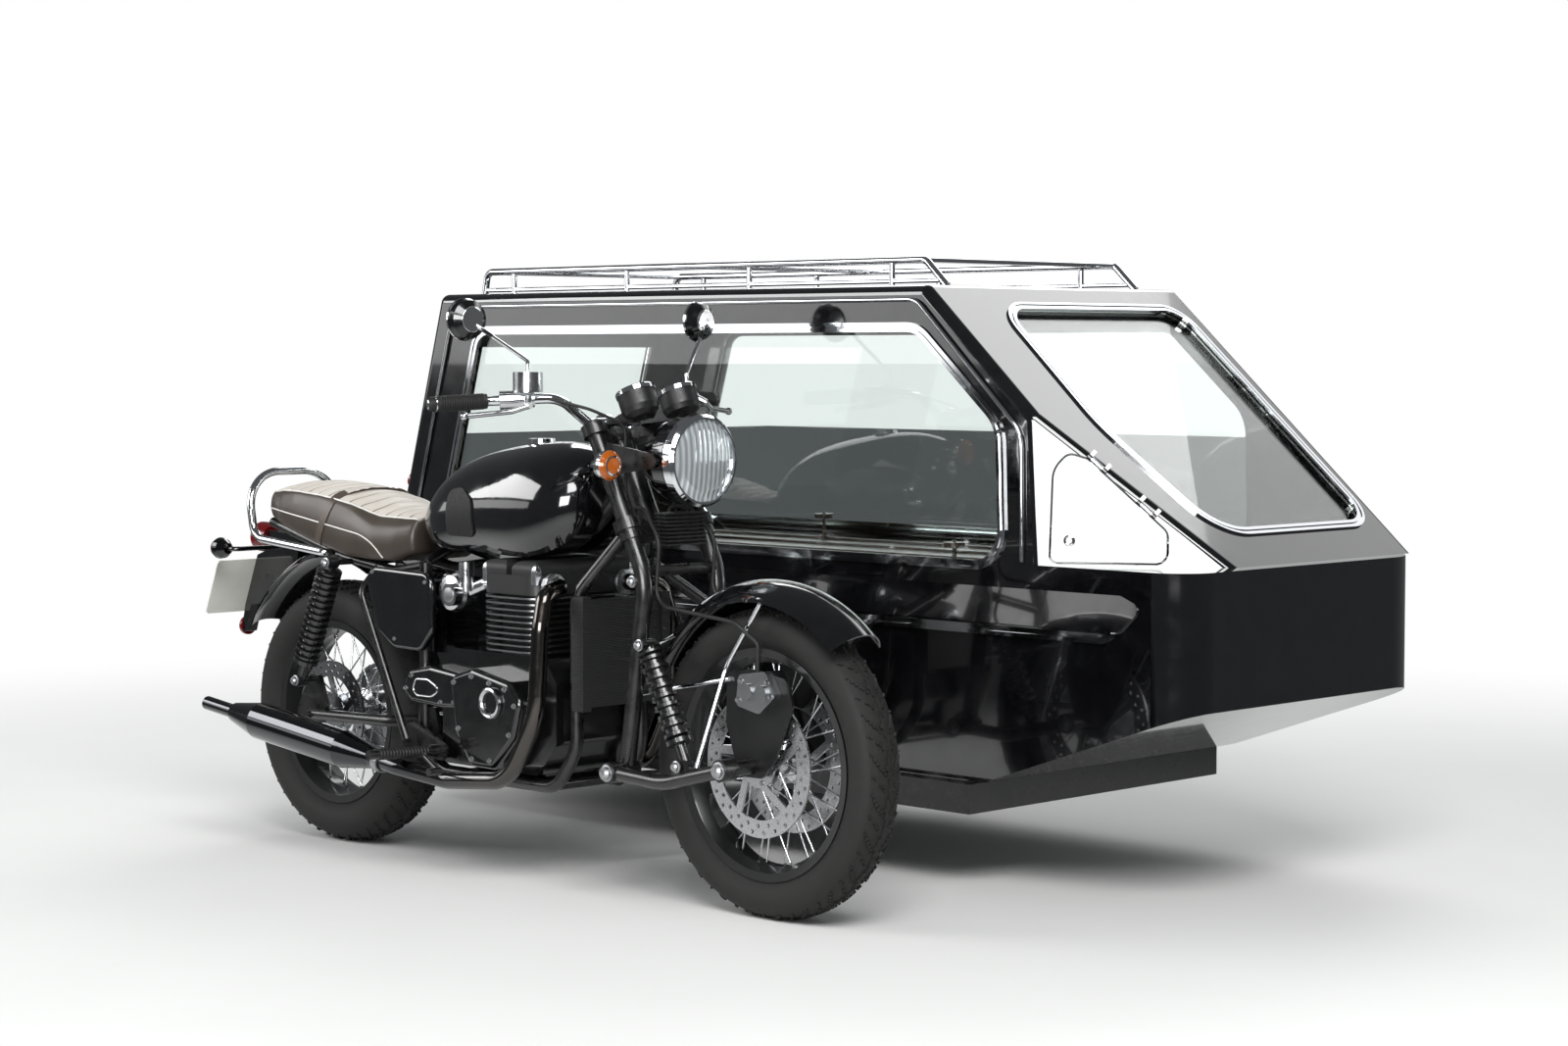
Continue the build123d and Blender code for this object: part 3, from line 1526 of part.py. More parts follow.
def make_foot_controls():
    inner_y = HANGER_Y + 8 + SEAT_GAP

    def controls(side):
        root = at(PEG_X, side * inner_y, PEG_Z)
        tip = at(PEG_X, side * PEG_END_Y, PEG_Z + PEG_RISE)
        way = (tip - root).normalized()
        boss = rod(root - way * 2, root + way * PEG_BOSS, 15)
        peg = rod(root, tip, PEG_RADIUS)
        pedal = pipe(
            [at(552, side * 176, 276), at(592, side * 247, 290), at(668, side * 262, 260)], 6, 30
        )
        link = rod(at(552, side * inner_y, 276), at(552, side * 180, 276), 8)
        pad = rod(at(668, side * 258, 260), at(668, side * 292, 260), 9)
        tie = rod(at(552, side * 164, 276), at(PEG_X, side * 164, PEG_Z), 6)
        outside = block((PEG_X - 60, 720), span(side, inner_y, 400), (200, 340))
        return fused(boss, peg, pedal, link, pad, tie) & outside

    write("foot_controls", *both_sides(controls))


# Sidecar body


def rear_x(z):
    return ROOF_REAR_X - REAR_SLOPE * (ROOF_Z - z)


def screen_x(z):
    return ROOF_FRONT_X + (ROOF_Z - z) / SCREEN_SLOPE


QUARTER_CREASE_X = 1712.0
QUARTER_FOOT_X = 1734.0
QUARTER_END_X = 2094.0
QUARTER_END_Y = 803.0
BIG = 3000.0
SKIRT_FRONT_X = 1690.0
REAR_ROOF_ROUND = 60.0
ROOF_ROUND = 24.0


def quarter_plane():
    """The plane of the corner panel between the near wall and the windscreen."""
    crease_z = ROOF_Z - (QUARTER_CREASE_X - ROOF_FRONT_X) * SCREEN_SLOPE
    top = at(QUARTER_CREASE_X, NEAR_WALL_Y, crease_z)
    foot = at(QUARTER_FOOT_X, NEAR_WALL_Y, BELT_Z)
    end = at(QUARTER_END_X, QUARTER_END_Y, BELT_Z)
    outward = (foot - top).cross(end - foot).normalized()
    along = Vector(end.X - foot.X, end.Y - foot.Y, 0).normalized()
    return Plane(origin=foot, x_dir=along, z_dir=outward)


def greenhouse(inset, low):
    """The glazed upper body, its faces moved inwards by inset, down to low."""
    rear = inset * hypot(1, REAR_SLOPE)
    screen = inset * hypot(1, 1 / SCREEN_SLOPE)
    top = ROOF_Z - inset
    outline = [
        (rear_x(low) + rear, low),
        (rear_x(top) + rear, top),
        (screen_x(top) - screen, top),
        (screen_x(low) - screen, low),
    ]
    solid = plate(outline, (NEAR_WALL_Y + inset, FAR_WALL_Y - inset))
    side = quarter_plane()
    corner = Plane(origin=side.origin - side.z_dir * inset, x_dir=side.x_dir, z_dir=side.z_dir)
    away = corner * Box(BIG, BIG, BIG, align=(Align.CENTER, Align.CENTER, Align.MIN))
    return solid - away


# The near and far side windows, as the outer outline of their chrome trims.
SIDE_WINDOW = [(-205, 1279), (1385, 1279), (1640, 1055), (1650, 722), (-372, 722)]
SIDE_WINDOW_CORNERS = [70, 100, 110, 90, 70]
# The windscreen's trim: distance down the slope from the roof's edge, and y.
WINDSCREEN = [(62, 758), (480, 750), (845, 850), (845, 1466), (62, 1454)]
WINDSCREEN_CORNERS = [95, 400, 150, 95, 80]
TRIM_OVERLAP = 10.0
REAR_DOOR_Y = (640.0, 1440.0)
REAR_DOOR_Z = (705.0, 1302.0)
DOOR_THICKNESS = 26.0
DOOR_BORDER = 72.0
HATCH = [(30, 742), (290, 742), (290, 812), (113, 972), (70, 985), (36, 950)]
HATCH_CORNERS = [16, 28, 30, 16, 24, 60]
HATCH_THICKNESS = 14.0
HATCH_RISE = 4.0
HATCH_GAP = 2.5


def outlined(points, corners, amount=0.0):
    """A face from an outline with a radius at each corner, grown or shrunk by an amount."""
    line = FilletPolyline(*points, radius=corners, close=True)
    face = make_face(line)
    if amount:
        face = offset(face, amount=amount)
    return face


def screen_plane(depth):
    """The windscreen's drawing plane: x runs down the slope, y to the left."""
    slope = Vector(1, 0, -SCREEN_SLOPE).normalized()
    outward = Vector(SCREEN_SLOPE, 0, 1).normalized()
    origin = at(ROOF_FRONT_X, 0, ROOF_Z) - outward * depth
    return Plane(origin=origin, x_dir=slope, z_dir=outward)


def extruded(face, plane, amount):
    """A face drawn on a plane, given thickness along the plane's normal."""
    return extrude(plane * face, amount=amount, dir=plane.z_dir)


def side_window_face(amount):
    return outlined(SIDE_WINDOW, SIDE_WINDOW_CORNERS, amount)


def windscreen_face(amount):
    return outlined(WINDSCREEN, WINDSCREEN_CORNERS, amount)


def skirt_room():
    """The band under the belt, behind the nose, where the upper body's walls run down."""
    return block((ROOM_X[0], SKIRT_FRONT_X), ROOM_Y, (SPLIT_Z, BELT_Z))


def make_upper_body():
    outer = greenhouse(0, BELT_Z)
    upper_edges = outer.edges().filter_by(lambda edge: edge.center().Z > BELT_Z + 5)
    outer = fillet(upper_edges, ROOF_ROUND)
    shell = outer - greenhouse(BODY_WALL, BELT_Z - 20)
    opening = side_window_face(-TRIM_OVERLAP)
    reach = BODY_WALL + 60
    near_cut = extruded(opening, side_plane(NEAR_WALL_Y + reach), reach + 60)
    far_cut = extruded(opening, side_plane(FAR_WALL_Y + 60), reach + 60)
    screen_cut = extruded(windscreen_face(-TRIM_OVERLAP), screen_plane(reach), reach + 60)
    skirt = lower_shape(0, BELT_Z) - lower_shape(BODY_WALL, BELT_Z + 20)
    shell = shell + (skirt & skirt_room())
    shell = shell - near_cut - far_cut - screen_cut
    shell = shell - rear_opening(0)
    side = quarter_plane()
    hatch_cut = extruded(hatch_face(HATCH_GAP), shifted(side, -BODY_WALL - 30), BODY_WALL + 60)
    shell = shell - hatch_cut
    write("sidecar_upper_body", fused(shell, *body_hinges(), *hatch_body_hinges()))


def hatch_face(amount):
    """The hatch's outline on the corner panel: along it from its foot, and up from the belt."""
    points = [(u, z - BELT_Z + HATCH_RISE) for u, z in HATCH]
    return outlined(points, HATCH_CORNERS, amount)


def shifted(plane, along_normal):
    return Plane(
        origin=plane.origin + plane.z_dir * along_normal, x_dir=plane.x_dir, z_dir=plane.z_dir
    )


def rear_opening(gap):
    """The space of the rear door, gap smaller all round."""
    low = REAR_DOOR_Z[0] + gap
    high = REAR_DOOR_Z[1] - gap
    outline = [
        (rear_x(low) - 60, low),
        (rear_x(high) - 60, high),
        (rear_x(high) + 80, high),
        (rear_x(low) + 80, low),
    ]
    return plate(outline, (REAR_DOOR_Y[0] + gap, REAR_DOOR_Y[1] - gap))


DOOR_HINGE_X = -389.0
DOOR_HINGE_Z = 1303.0
DOOR_HINGES_Y = (800.0, 1280.0)
KNUCKLE_RADIUS = 8.0
HINGE_PIN = 4.0


def door_hinge(y, radius, near, far):
    return rod(at(DOOR_HINGE_X, y + near, DOOR_HINGE_Z), at(DOOR_HINGE_X, y + far, DOOR_HINGE_Z), radius)


def body_hinges():
    """The body's half of the rear door's hinges."""
    parts = []
    for y in DOOR_HINGES_Y:
        knuckle = door_hinge(y, KNUCKLE_RADIUS, -15, 15)
        leaf = plate(
            [
                (DOOR_HINGE_X - 5, DOOR_HINGE_Z + 3),
                (rear_x(DOOR_HINGE_Z + 3) + 5, DOOR_HINGE_Z + 3),
                (rear_x(DOOR_HINGE_Z + 28) + 5, DOOR_HINGE_Z + 28),
                (rear_x(DOOR_HINGE_Z + 28) - 3, DOOR_HINGE_Z + 28),
            ],
            (y - 15, y + 15),
        )
        parts.append(fused(knuckle, leaf).cut(door_hinge(y, HINGE_PIN + SEAT_GAP, -20, 20)))
    return parts


def door_side_hinges():
    """The rear door's half of its hinges: two knuckles on a pin and their leaves."""
    parts = []
    for y in DOOR_HINGES_Y:
        pin = door_hinge(y, HINGE_PIN, -38, 38)
        for near, far in ((-38, -15 - SEAT_GAP), (15 + SEAT_GAP, 38)):
            knuckle = door_hinge(y, KNUCKLE_RADIUS, near, far)
            low = DOOR_HINGE_Z - 40
            high = DOOR_HINGE_Z - 7
            leaf = plate(
                [
                    (DOOR_HINGE_X - 5, DOOR_HINGE_Z - 3),
                    (rear_x(low) - 3, low),
                    (rear_x(low) + 5, low),
                    (rear_x(high) + 5, high),
                ],
                (y + near, y + far),
            )
            parts.append(fused(knuckle, leaf, pin))
    return parts


def make_rear_door():
    gap = MOVING_GAP
    low = REAR_DOOR_Z[0] + gap
    high = REAR_DOOR_Z[1] - gap
    thick = DOOR_THICKNESS * hypot(1, REAR_SLOPE)
    outline = [
        (rear_x(low), low),
        (rear_x(high), high),
        (rear_x(high) + thick, high),
        (rear_x(low) + thick, low),
    ]
    panel = plate(outline, (REAR_DOOR_Y[0] + gap, REAR_DOOR_Y[1] - gap))
    low_glass = BELT_Z + 60
    high_glass = high - DOOR_BORDER
    span = (REAR_DOOR_Y[0] + DOOR_BORDER + gap, REAR_DOOR_Y[1] - DOOR_BORDER - gap)

    def pane(inset, front, back):
        bottom = low_glass + inset
        top = high_glass - inset
        points = [
            (rear_x(bottom) + front, bottom),
            (rear_x(top) + front, top),
            (rear_x(top) + back, top),
            (rear_x(bottom) + back, bottom),
        ]
        return plate(points, (span[0] + inset, span[1] - inset))

    handle = pipe(
        [
            at(rear_x(760) + 4, 1000, 760),
            at(rear_x(760) - 34, 1000, 760),
            at(rear_x(760) - 34, 1080, 760),
            at(rear_x(760) + 4, 1080, 760),
        ],
        6,
        12,
    )
    write("rear_door", fused(panel - pane(0, -30, 80), handle, *door_side_hinges()))
    write("rear_door_glass", pane(SEAT_GAP, 10, 10 + GLASS_THICKNESS))


HATCH_LIP = 3.0
HATCH_HINGES = (130.0, 239.0)
HINGE_LIFT = 7.0
HINGE_AWAY = 5.5
HATCH_KNUCKLE = 5.5
HATCH_PIN = 2.2


def hinge_line(along):
    """A point of the hatch's hinge line, this far along the panel, with the line's way."""
    side = quarter_plane()
    rise = (HATCH[3][1] - HATCH[2][1]) / (HATCH[3][0] - HATCH[2][0])
    place = (along, HATCH[2][1] + (along - HATCH[2][0]) * rise)
    corner = Vector(HATCH[3][0] - HATCH[2][0], HATCH[3][1] - HATCH[2][1], 0).normalized()
    away = Vector(corner.Y, -corner.X, 0)
    near = Vector(place[0], place[1] - BELT_Z + HATCH_RISE, 0) + away * HINGE_AWAY
    point = side.from_local_coords((near.X, near.Y, HINGE_LIFT))
    way = side.x_dir * corner.X + side.y_dir * corner.Y
    inward = side.x_dir * -away.X - side.y_dir * away.Y
    return point, way, inward


def hatch_body_hinges():
    """The body's half of the hatch hinges: a pin between two outer knuckles on leaves."""
    side = quarter_plane()
    parts = []
    for place in HATCH_HINGES:
        point, way, inward = hinge_line(place)
        pin = rod(point - way * 27, point + way * 27, HATCH_PIN)
        for end in (-1, 1):
            near = point + way * end * (17 + SEAT_GAP)
            far = point + way * end * 27
            leaf = Plane(
                origin=(near + far) / 2 - inward * 10 - side.z_dir * 5.4,
                x_dir=inward,
                z_dir=side.z_dir,
            ) * Box(20, (far - near).length, 4.2)
            parts.append(fused(rod(near, far, HATCH_KNUCKLE), leaf, pin))
    return parts


def make_hatch():
    side = quarter_plane()
    lid = extruded(hatch_face(-HATCH_GAP), shifted(side, -HATCH_THICKNESS + HATCH_LIP), HATCH_THICKNESS)
    knob = Plane(origin=side.from_local_coords((74, 56, HATCH_LIP - 1)), z_dir=side.z_dir) * Cylinder(
        10, 8, align=(Align.CENTER, Align.CENTER, Align.MIN)
    )
    knuckles = []
    for place in HATCH_HINGES:
        point, way, inward = hinge_line(place)
        barrel = rod(point - way * 17, point + way * 17, HATCH_KNUCKLE)
        knuckles.append(barrel.cut(rod(point - way * 20, point + way * 20, HATCH_PIN + SEAT_GAP)))
        leaf = Plane(origin=point + inward * 19 - side.z_dir * 3.6, x_dir=inward, z_dir=side.z_dir)
        knuckles.append(leaf * Box(30, 28, 3.5))
    write("nose_hatch", fused(lid, knob, *knuckles))


def lower_shape(inset, high):
    """The tub under the belt, its faces moved inwards by inset, up to high."""
    slope = (NOSE_BOTTOM_Z - BODY_FLOOR_Z) / (NOSE_X - CHASSIS_FRONT_X)
    lift = inset * hypot(1, slope)
    low = BODY_FLOOR_Z + inset
    nose = NOSE_X - inset
    rear = LOWER_REAR_X + inset
    outline = [
        (rear_x(BELT_Z) + inset, BELT_Z if high > BELT_Z else high),
        (rear, 640),
        (rear, 430),
        (rear + 40, low),
        (CHASSIS_FRONT_X, low),
        (nose, NOSE_BOTTOM_Z + lift - inset * slope),
        (nose, high),
    ]
    if high > BELT_Z:
        outline.append((rear_x(BELT_Z) + inset, high))
    side = plate(outline, (NEAR_WALL_Y + inset, FAR_WALL_Y - inset))
    plan = outlined(
        [
            at(rear - 5, NEAR_WALL_Y + inset, 0),
            at(nose, NEAR_WALL_Y + inset, 0),
            at(nose, FAR_WALL_Y - inset, 0),
            at(rear - 5, FAR_WALL_Y - inset, 0),
        ],
        [45 - inset, NEAR_NOSE_RADIUS - inset, FAR_NOSE_RADIUS - inset, 45 - inset],
    )
    return side & extrude(plan, amount=1000, dir=(0, 0, 1))


SHELF_Z = BELT_Z - 26.0
FAR_RAIL_Y = 1236.0
RAIL_WIDTH = 50.0
WELL_INNER_Y = FAR_RAIL_Y + RAIL_WIDTH - 6.0


SHOULDER_Z = (602.0, 694.0)
SHOULDER_OUT = 10.0
SHOULDER_ENDS_X = (-540.0, 2035.0)


def shoulder(side_y, outward):
    """The swelling of a side wall under the belt: flush at its top, proud at its foot."""
    low, high = SHOULDER_Z
    rear, front = SHOULDER_ENDS_X
    section = make_face(
        Polyline(
            at(rear, side_y - outward, high),
            at(rear, side_y + outward * SHOULDER_OUT, low + 4),
            at(rear, side_y - outward, low),
            close=True,
        )
    )
    swelling = extrude(section, amount=front - rear, dir=(1, 0, 0))
    profile = [
        (rear, low - 2),
        (rear, high + 2),
        (front - 90, high + 2),
        (front, (low + high) / 2 + 14),
        (front - 70, low - 2),
    ]
    ends = span(1, side_y - 2 * SHOULDER_OUT, side_y + 2 * SHOULDER_OUT)
    return swelling & plate(profile, ends, 18)


def make_lower_body():
    outer = lower_shape(0, BELT_Z)
    cavity = lower_shape(BODY_WALL, SHELF_Z)
    mouth = greenhouse(BODY_WALL, SHELF_Z - 1)
    mouth = mouth & block(ROOM_X, ROOM_Y, (SHELF_Z - 1, BELT_Z + 1))
    arch = SIDE_TYRE_RADIUS + ARCH_CLEARANCE
    inner_y = WELL_INNER_Y
    well = rod(
        at(SIDE_WHEEL_X, inner_y - 20, SIDE_TYRE_RADIUS), at(SIDE_WHEEL_X, FAR_WALL_Y - 2, SIDE_TYRE_RADIUS), arch + 20
    )
    well = well & block(ROOM_X, ROOM_Y, (BODY_FLOOR_Z + 2, SHELF_Z))
    hole = rod(
        at(SIDE_WHEEL_X, inner_y, SIDE_TYRE_RADIUS), at(SIDE_WHEEL_X, FAR_WALL_Y + 40, SIDE_TYRE_RADIUS), arch
    )
    below = block(
        (SIDE_WHEEL_X - arch, SIDE_WHEEL_X + arch), (inner_y, FAR_WALL_Y + 40), (100, SIDE_TYRE_RADIUS)
    )
    shell = (outer - cavity - mouth) + well
    shell = shell + shoulder(NEAR_WALL_Y, -1) + shoulder(FAR_WALL_Y, 1)
    write("sidecar_lower_body", shell - hole - below - skirt_room())


def make_deck():
    inset = BODY_WALL + SEAT_GAP
    sheet = lower_shape(inset, SHELF_Z - SEAT_GAP)
    deck = sheet & block(ROOM_X, ROOM_Y, (DECK_Z - DECK_THICKNESS, DECK_Z))
    rails = []
    for y in RUB_STRIP_Y:
        rails.append(block((-520, 1640), (y - 12, y + 12), (DECK_Z - 1, DECK_Z + 7)))
    posts = []
    for x, y in COFFIN_POSTS:
        posts.append(rod(at(x, y, DECK_Z - 1), at(x, y, DECK_Z + 74), 5))
        posts.append(rod(at(x, y, DECK_Z + 58), at(x, y, DECK_Z + 70), 26))
        posts.append(rod(at(x, y, DECK_Z - 1), at(x, y, DECK_Z + 10), 14))
    write("coffin_deck", fused(deck, *rails, *posts))


RUB_STRIP_Y = (700.0, 860.0, 1040.0, 1220.0, 1380.0)
COFFIN_POSTS = ((300.0, 700.0), (1380.0, 700.0), (300.0, 1380.0), (1380.0, 1380.0))


def make_glass():
    inner = -TRIM_OVERLAP - SEAT_GAP
    middle = (BODY_WALL - GLASS_THICKNESS) / 2
    face = side_window_face(inner)
    near = extruded(face, side_plane(NEAR_WALL_Y + middle + GLASS_THICKNESS), GLASS_THICKNESS)
    far = extruded(face, side_plane(FAR_WALL_Y - middle), GLASS_THICKNESS)
    write("side_windows", near, far)
    write("windscreen", extruded(windscreen_face(inner), screen_plane(middle + GLASS_THICKNESS), GLASS_THICKNESS))


BEAD_RADIUS = 5.0
BEAD_FROM_SCREEN = 58.0
BEAD_CORNER = (1694.0, 1034.0)
MOULDING_Z = 590.0
MOULDING_FRONT_X = 1950.0


TRIM_GROOVE_AT = 7.0
TRIM_GROOVE_WIDTH = 6.0
TRIM_GROOVE_DEPTH = 2.5
MOULDING_HALF = 11.0
MOULDING_THICKNESS = 9.0


def window_trim(face, outside, outward):
    """A window's trim on its drawing plane at the wall, with a groove along its middle."""
    ring = extruded(face(0) - face(-TRIM_WIDTH), outside, outward * TRIM_THICKNESS)
    band = face(-TRIM_GROOVE_AT) - face(-TRIM_GROOVE_AT - TRIM_GROOVE_WIDTH)
    floor = shifted(outside, outward * (TRIM_THICKNESS - TRIM_GROOVE_DEPTH))
    return ring - extruded(band, floor, outward * TRIM_THICKNESS)


def make_trims():
    near = window_trim(side_window_face, side_plane(NEAR_WALL_Y - SEAT_GAP), 1)
    far = window_trim(side_window_face, side_plane(FAR_WALL_Y + SEAT_GAP), -1)
    screen = window_trim(windscreen_face, screen_plane(-SEAT_GAP), 1)

    def moulding(side_y, outward):
        outline = [
            (LOWER_REAR_X + 30, MOULDING_Z - MOULDING_HALF),
            (MOULDING_FRONT_X - 26, MOULDING_Z - MOULDING_HALF),
            (MOULDING_FRONT_X, MOULDING_Z + 2),
            (MOULDING_FRONT_X - 8, MOULDING_Z + MOULDING_HALF),
            (LOWER_REAR_X + 30, MOULDING_Z + MOULDING_HALF),
        ]
        groove = block(
            (LOWER_REAR_X, MOULDING_FRONT_X - 90),
            span(outward, outward * side_y + MOULDING_THICKNESS - 3, outward * side_y + 20),
            (MOULDING_Z - 2, MOULDING_Z + 4),
        )
        near_y = outward * side_y + SEAT_GAP
        return plate(outline, span(outward, near_y, near_y + MOULDING_THICKNESS)) - groove

    def bead(y):
        low = BELT_Z + 6
        high = ROOF_Z - 34
        path = [
            at(rear_x(low) + 78, y, low),
            at(rear_x(high) + 78, y, high),
            at(screen_x(high) - BEAD_FROM_SCREEN, y, high),
            at(BEAD_CORNER[0], y, BEAD_CORNER[1]),
            at(BEAD_CORNER[0] + 4, y, low),
        ]
        return pipe(path, BEAD_RADIUS, [REAR_ROOF_ROUND, 60, 90])

    write(
        "chrome_trims",
        near,
        far,
        screen,
        moulding(NEAR_WALL_Y, -1),
        moulding(FAR_WALL_Y, 1),
        bead(NEAR_WALL_Y - SEAT_GAP - BEAD_RADIUS),
        bead(FAR_WALL_Y + SEAT_GAP + BEAD_RADIUS),
    )


SIDECAR_LAMPS = [
    # left of the motorcycle's middle plane, height, radius
    (606, 800, 23),
    (606, 860, 23),
    (1474, 800, 23),
    (1474, 860, 23),
]


def make_sidecar_lamps():
    outward = Vector(-1, 0, REAR_SLOPE).normalized()
    lamps = []
    for y, z, radius in SIDECAR_LAMPS:
        seat = at(rear_x(z), y, z) + outward * SEAT_GAP
        lamps.append(
            turned(
                [(0, 0), (radius, 0), (radius, 8), (radius - 6, 14), (0, 17)],
                seat,
                outward,
            )
        )
    write("sidecar_lamps", *lamps)


RAIL_NEAR_Y = 690.0
RAIL_FAR_Y = 1390.0
RAIL_HEIGHT = 61.0
RAIL_TOP_Z = ROOF_Z + RAIL_HEIGHT
RAIL_TUBE = 9.0
RAIL_POSTS_X = (-190.0, 259.0, 708.0, 1188.0)
RAIL_FRONT_X = 1296.0
RAIL_FOOT_X = 1362.0


def make_roof_rails():
    low = ROOF_Z + SEAT_GAP

    def side_rail(y):
        path = [
            at(-312, y, low),
            at(-300, y, RAIL_TOP_Z),
            at(RAIL_FRONT_X, y, RAIL_TOP_Z),
            at(RAIL_FOOT_X, y, low),
        ]
        top = pipe(path, RAIL_TUBE, [26, 30])
        base = rod(at(-312, y, low + 12), at(RAIL_FOOT_X - 16, y, low + 12), 6)
        feet = [rod(at(x, y, low), at(x, y, RAIL_TOP_Z), 7) for x in RAIL_POSTS_X]
        trim = block((-330, RAIL_FOOT_X + 30), (y - 60, y + 60), (ROOF_Z - 40, low))
        return fused(top, base, *feet) - trim

    cross = []
    for x in (-288, 508, RAIL_FRONT_X - 4):
        cross.append(rod(at(x, RAIL_NEAR_Y, RAIL_TOP_Z), at(x, RAIL_FAR_Y, RAIL_TOP_Z), 7))
    write("roof_rails", fused(side_rail(RAIL_NEAR_Y), side_rail(RAIL_FAR_Y), *cross))


CHASSIS_NEAR_Y = 520.0
CHASSIS_FAR_Y = 1440.0
CHASSIS_REAR_X = -360.0
STRUT_RADIUS = 14.0
CLAMP_WALL = 7.0
CLAMP_HALF = 18.0
UPRIGHT_X = 1050.0
UPRIGHT_Z = 446.0
UPRIGHT_Y = 546.0
STRUTS = [
    # place on a frame tube, that tube's direction and radius, drop of the strut's end, sidecar end
    ((848, CRADLE_Y, CRADLE_Z), (1, 0, 0), TUBE_RADIUS, 6, (960, 546, 214)),
    ((543, CRADLE_Y, CRADLE_Z), (1, 0, 0), TUBE_RADIUS, 24, (430, 546, 200)),
    ((1008.6, 61.9, 744.9), (-117.7, 84, -178.4), TUBE_RADIUS, 0, (UPRIGHT_X, UPRIGHT_Y, UPRIGHT_Z)),
    ((285.3, 158, 562.3), (172, 0, -340), 9, 0, (180, 546, 220)),
]


def make_chassis():
    top = BODY_FLOOR_Z - SEAT_GAP
    low = CHASSIS_FLOOR_Z
    near_y = (CHASSIS_NEAR_Y, CHASSIS_NEAR_Y + RAIL_WIDTH - SEAT_GAP)
    parts = [
        block((CHASSIS_REAR_X, CHASSIS_FRONT_X), near_y, (low, top)),
        block((CHASSIS_REAR_X, CHASSIS_FRONT_X), (FAR_RAIL_Y, FAR_RAIL_Y + RAIL_WIDTH), (low, top)),
    ]
    for x in (CHASSIS_REAR_X, SIDE_WHEEL_X - RAIL_WIDTH / 2, 900):
        parts.append(block((x, x + RAIL_WIDTH), (CHASSIS_NEAR_Y + 10, FAR_RAIL_Y + 10), (low, top)))
    front = (CHASSIS_FRONT_X - RAIL_WIDTH, CHASSIS_FRONT_X)
    parts.append(block(front, (CHASSIS_NEAR_Y, CHASSIS_FAR_Y), (low, top)))
    arm_y = (FAR_RAIL_Y + RAIL_WIDTH - 1, FAR_RAIL_Y + RAIL_WIDTH + 13)
    parts.append(plate([(60, low), (300, low), (236, 330), (174, 330)], arm_y, 10))
    stub_start = at(SIDE_WHEEL_X, arm_y[0], SIDE_TYRE_RADIUS)
    parts.append(rod(stub_start, SIDE_AXLE + SIDEWAYS * 44, STUB_RADIUS))
    parts.append(rod(stub_start, SIDE_AXLE - SIDEWAYS * (SIDE_HUB_INNER + MOVING_GAP), 26))
    foot = at(UPRIGHT_X, UPRIGHT_Y, low + 20)
    parts.append(rod(foot, at(UPRIGHT_X, UPRIGHT_Y, UPRIGHT_Z + 24), STRUT_RADIUS + 3))
    holes = []
    for place, direction, tube, drop, far_end in STRUTS:
        start = at(*place)
        along = Vector(*direction).normalized()
        parts.append(rod(start - UPWARD * drop, at(*far_end), STRUT_RADIUS))
        parts.append(rod(start - along * CLAMP_HALF, start + along * CLAMP_HALF, tube + CLAMP_WALL))
        holes.append(rod(start - along * 70, start + along * 70, tube + SEAT_GAP))
    write("sidecar_chassis", fused(*parts).cut(*holes))


os.makedirs("parts", exist_ok=True)
make_front_wheel()
make_rear_wheel()
make_sidecar_wheel()
make_steering_fork()
make_links()
make_front_shocks()
make_front_mudguard()
make_calipers()
make_headlamp()
make_instruments()
make_handlebar()
make_hand_controls()
make_fork_hoses()
make_control_cables()
make_mirrors()
make_front_indicators()
make_regulator()
make_main_frame()
make_swingarm()
make_rear_shocks()
make_chain()
make_engine()
make_cylinders()
make_throttle_bodies()
make_exhaust()
make_radiator()
make_tank()
make_knee_pads()
make_seat()
make_side_panels()
make_rear_mudguard()
make_rear_lamps()
make_number_plate()
make_grab_rail()
make_foot_controls()
make_upper_body()
make_rear_door()
make_hatch()
make_lower_body()
make_deck()
make_glass()
make_trims()
make_sidecar_lamps()
make_roof_rails()
make_chassis()
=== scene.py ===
from math import asin, atan2, cos, exp, hypot, pi, radians, sin

import bmesh
import bpy
from mathutils import Matrix, Vector
from mathutils.bvhtree import BVHTree


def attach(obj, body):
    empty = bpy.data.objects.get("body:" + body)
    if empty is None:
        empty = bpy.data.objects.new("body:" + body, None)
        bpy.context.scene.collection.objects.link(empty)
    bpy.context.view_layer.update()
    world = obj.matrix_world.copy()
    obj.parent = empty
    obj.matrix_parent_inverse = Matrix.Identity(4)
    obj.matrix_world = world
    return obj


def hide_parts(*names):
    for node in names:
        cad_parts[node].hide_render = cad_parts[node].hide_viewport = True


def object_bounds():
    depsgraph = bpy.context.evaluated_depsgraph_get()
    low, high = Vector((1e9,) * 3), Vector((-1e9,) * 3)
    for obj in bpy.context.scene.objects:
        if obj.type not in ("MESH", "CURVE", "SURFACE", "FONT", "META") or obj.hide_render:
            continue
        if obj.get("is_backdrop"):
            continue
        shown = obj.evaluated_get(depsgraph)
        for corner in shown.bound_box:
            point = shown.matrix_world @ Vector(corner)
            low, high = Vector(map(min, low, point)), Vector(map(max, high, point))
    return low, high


# Sidecar motorcycle: its finishes and the small forms on top of the frame.
# Places are millimetres ahead of the rear axle, left of the motorcycle's middle plane and above the
# ground, as in the part's source; spot() turns them into the frame's metres.

REAR_AXLE_X = -782.0
BIKE_Y = -541.0
MM = 0.001
METRE = 1000.0

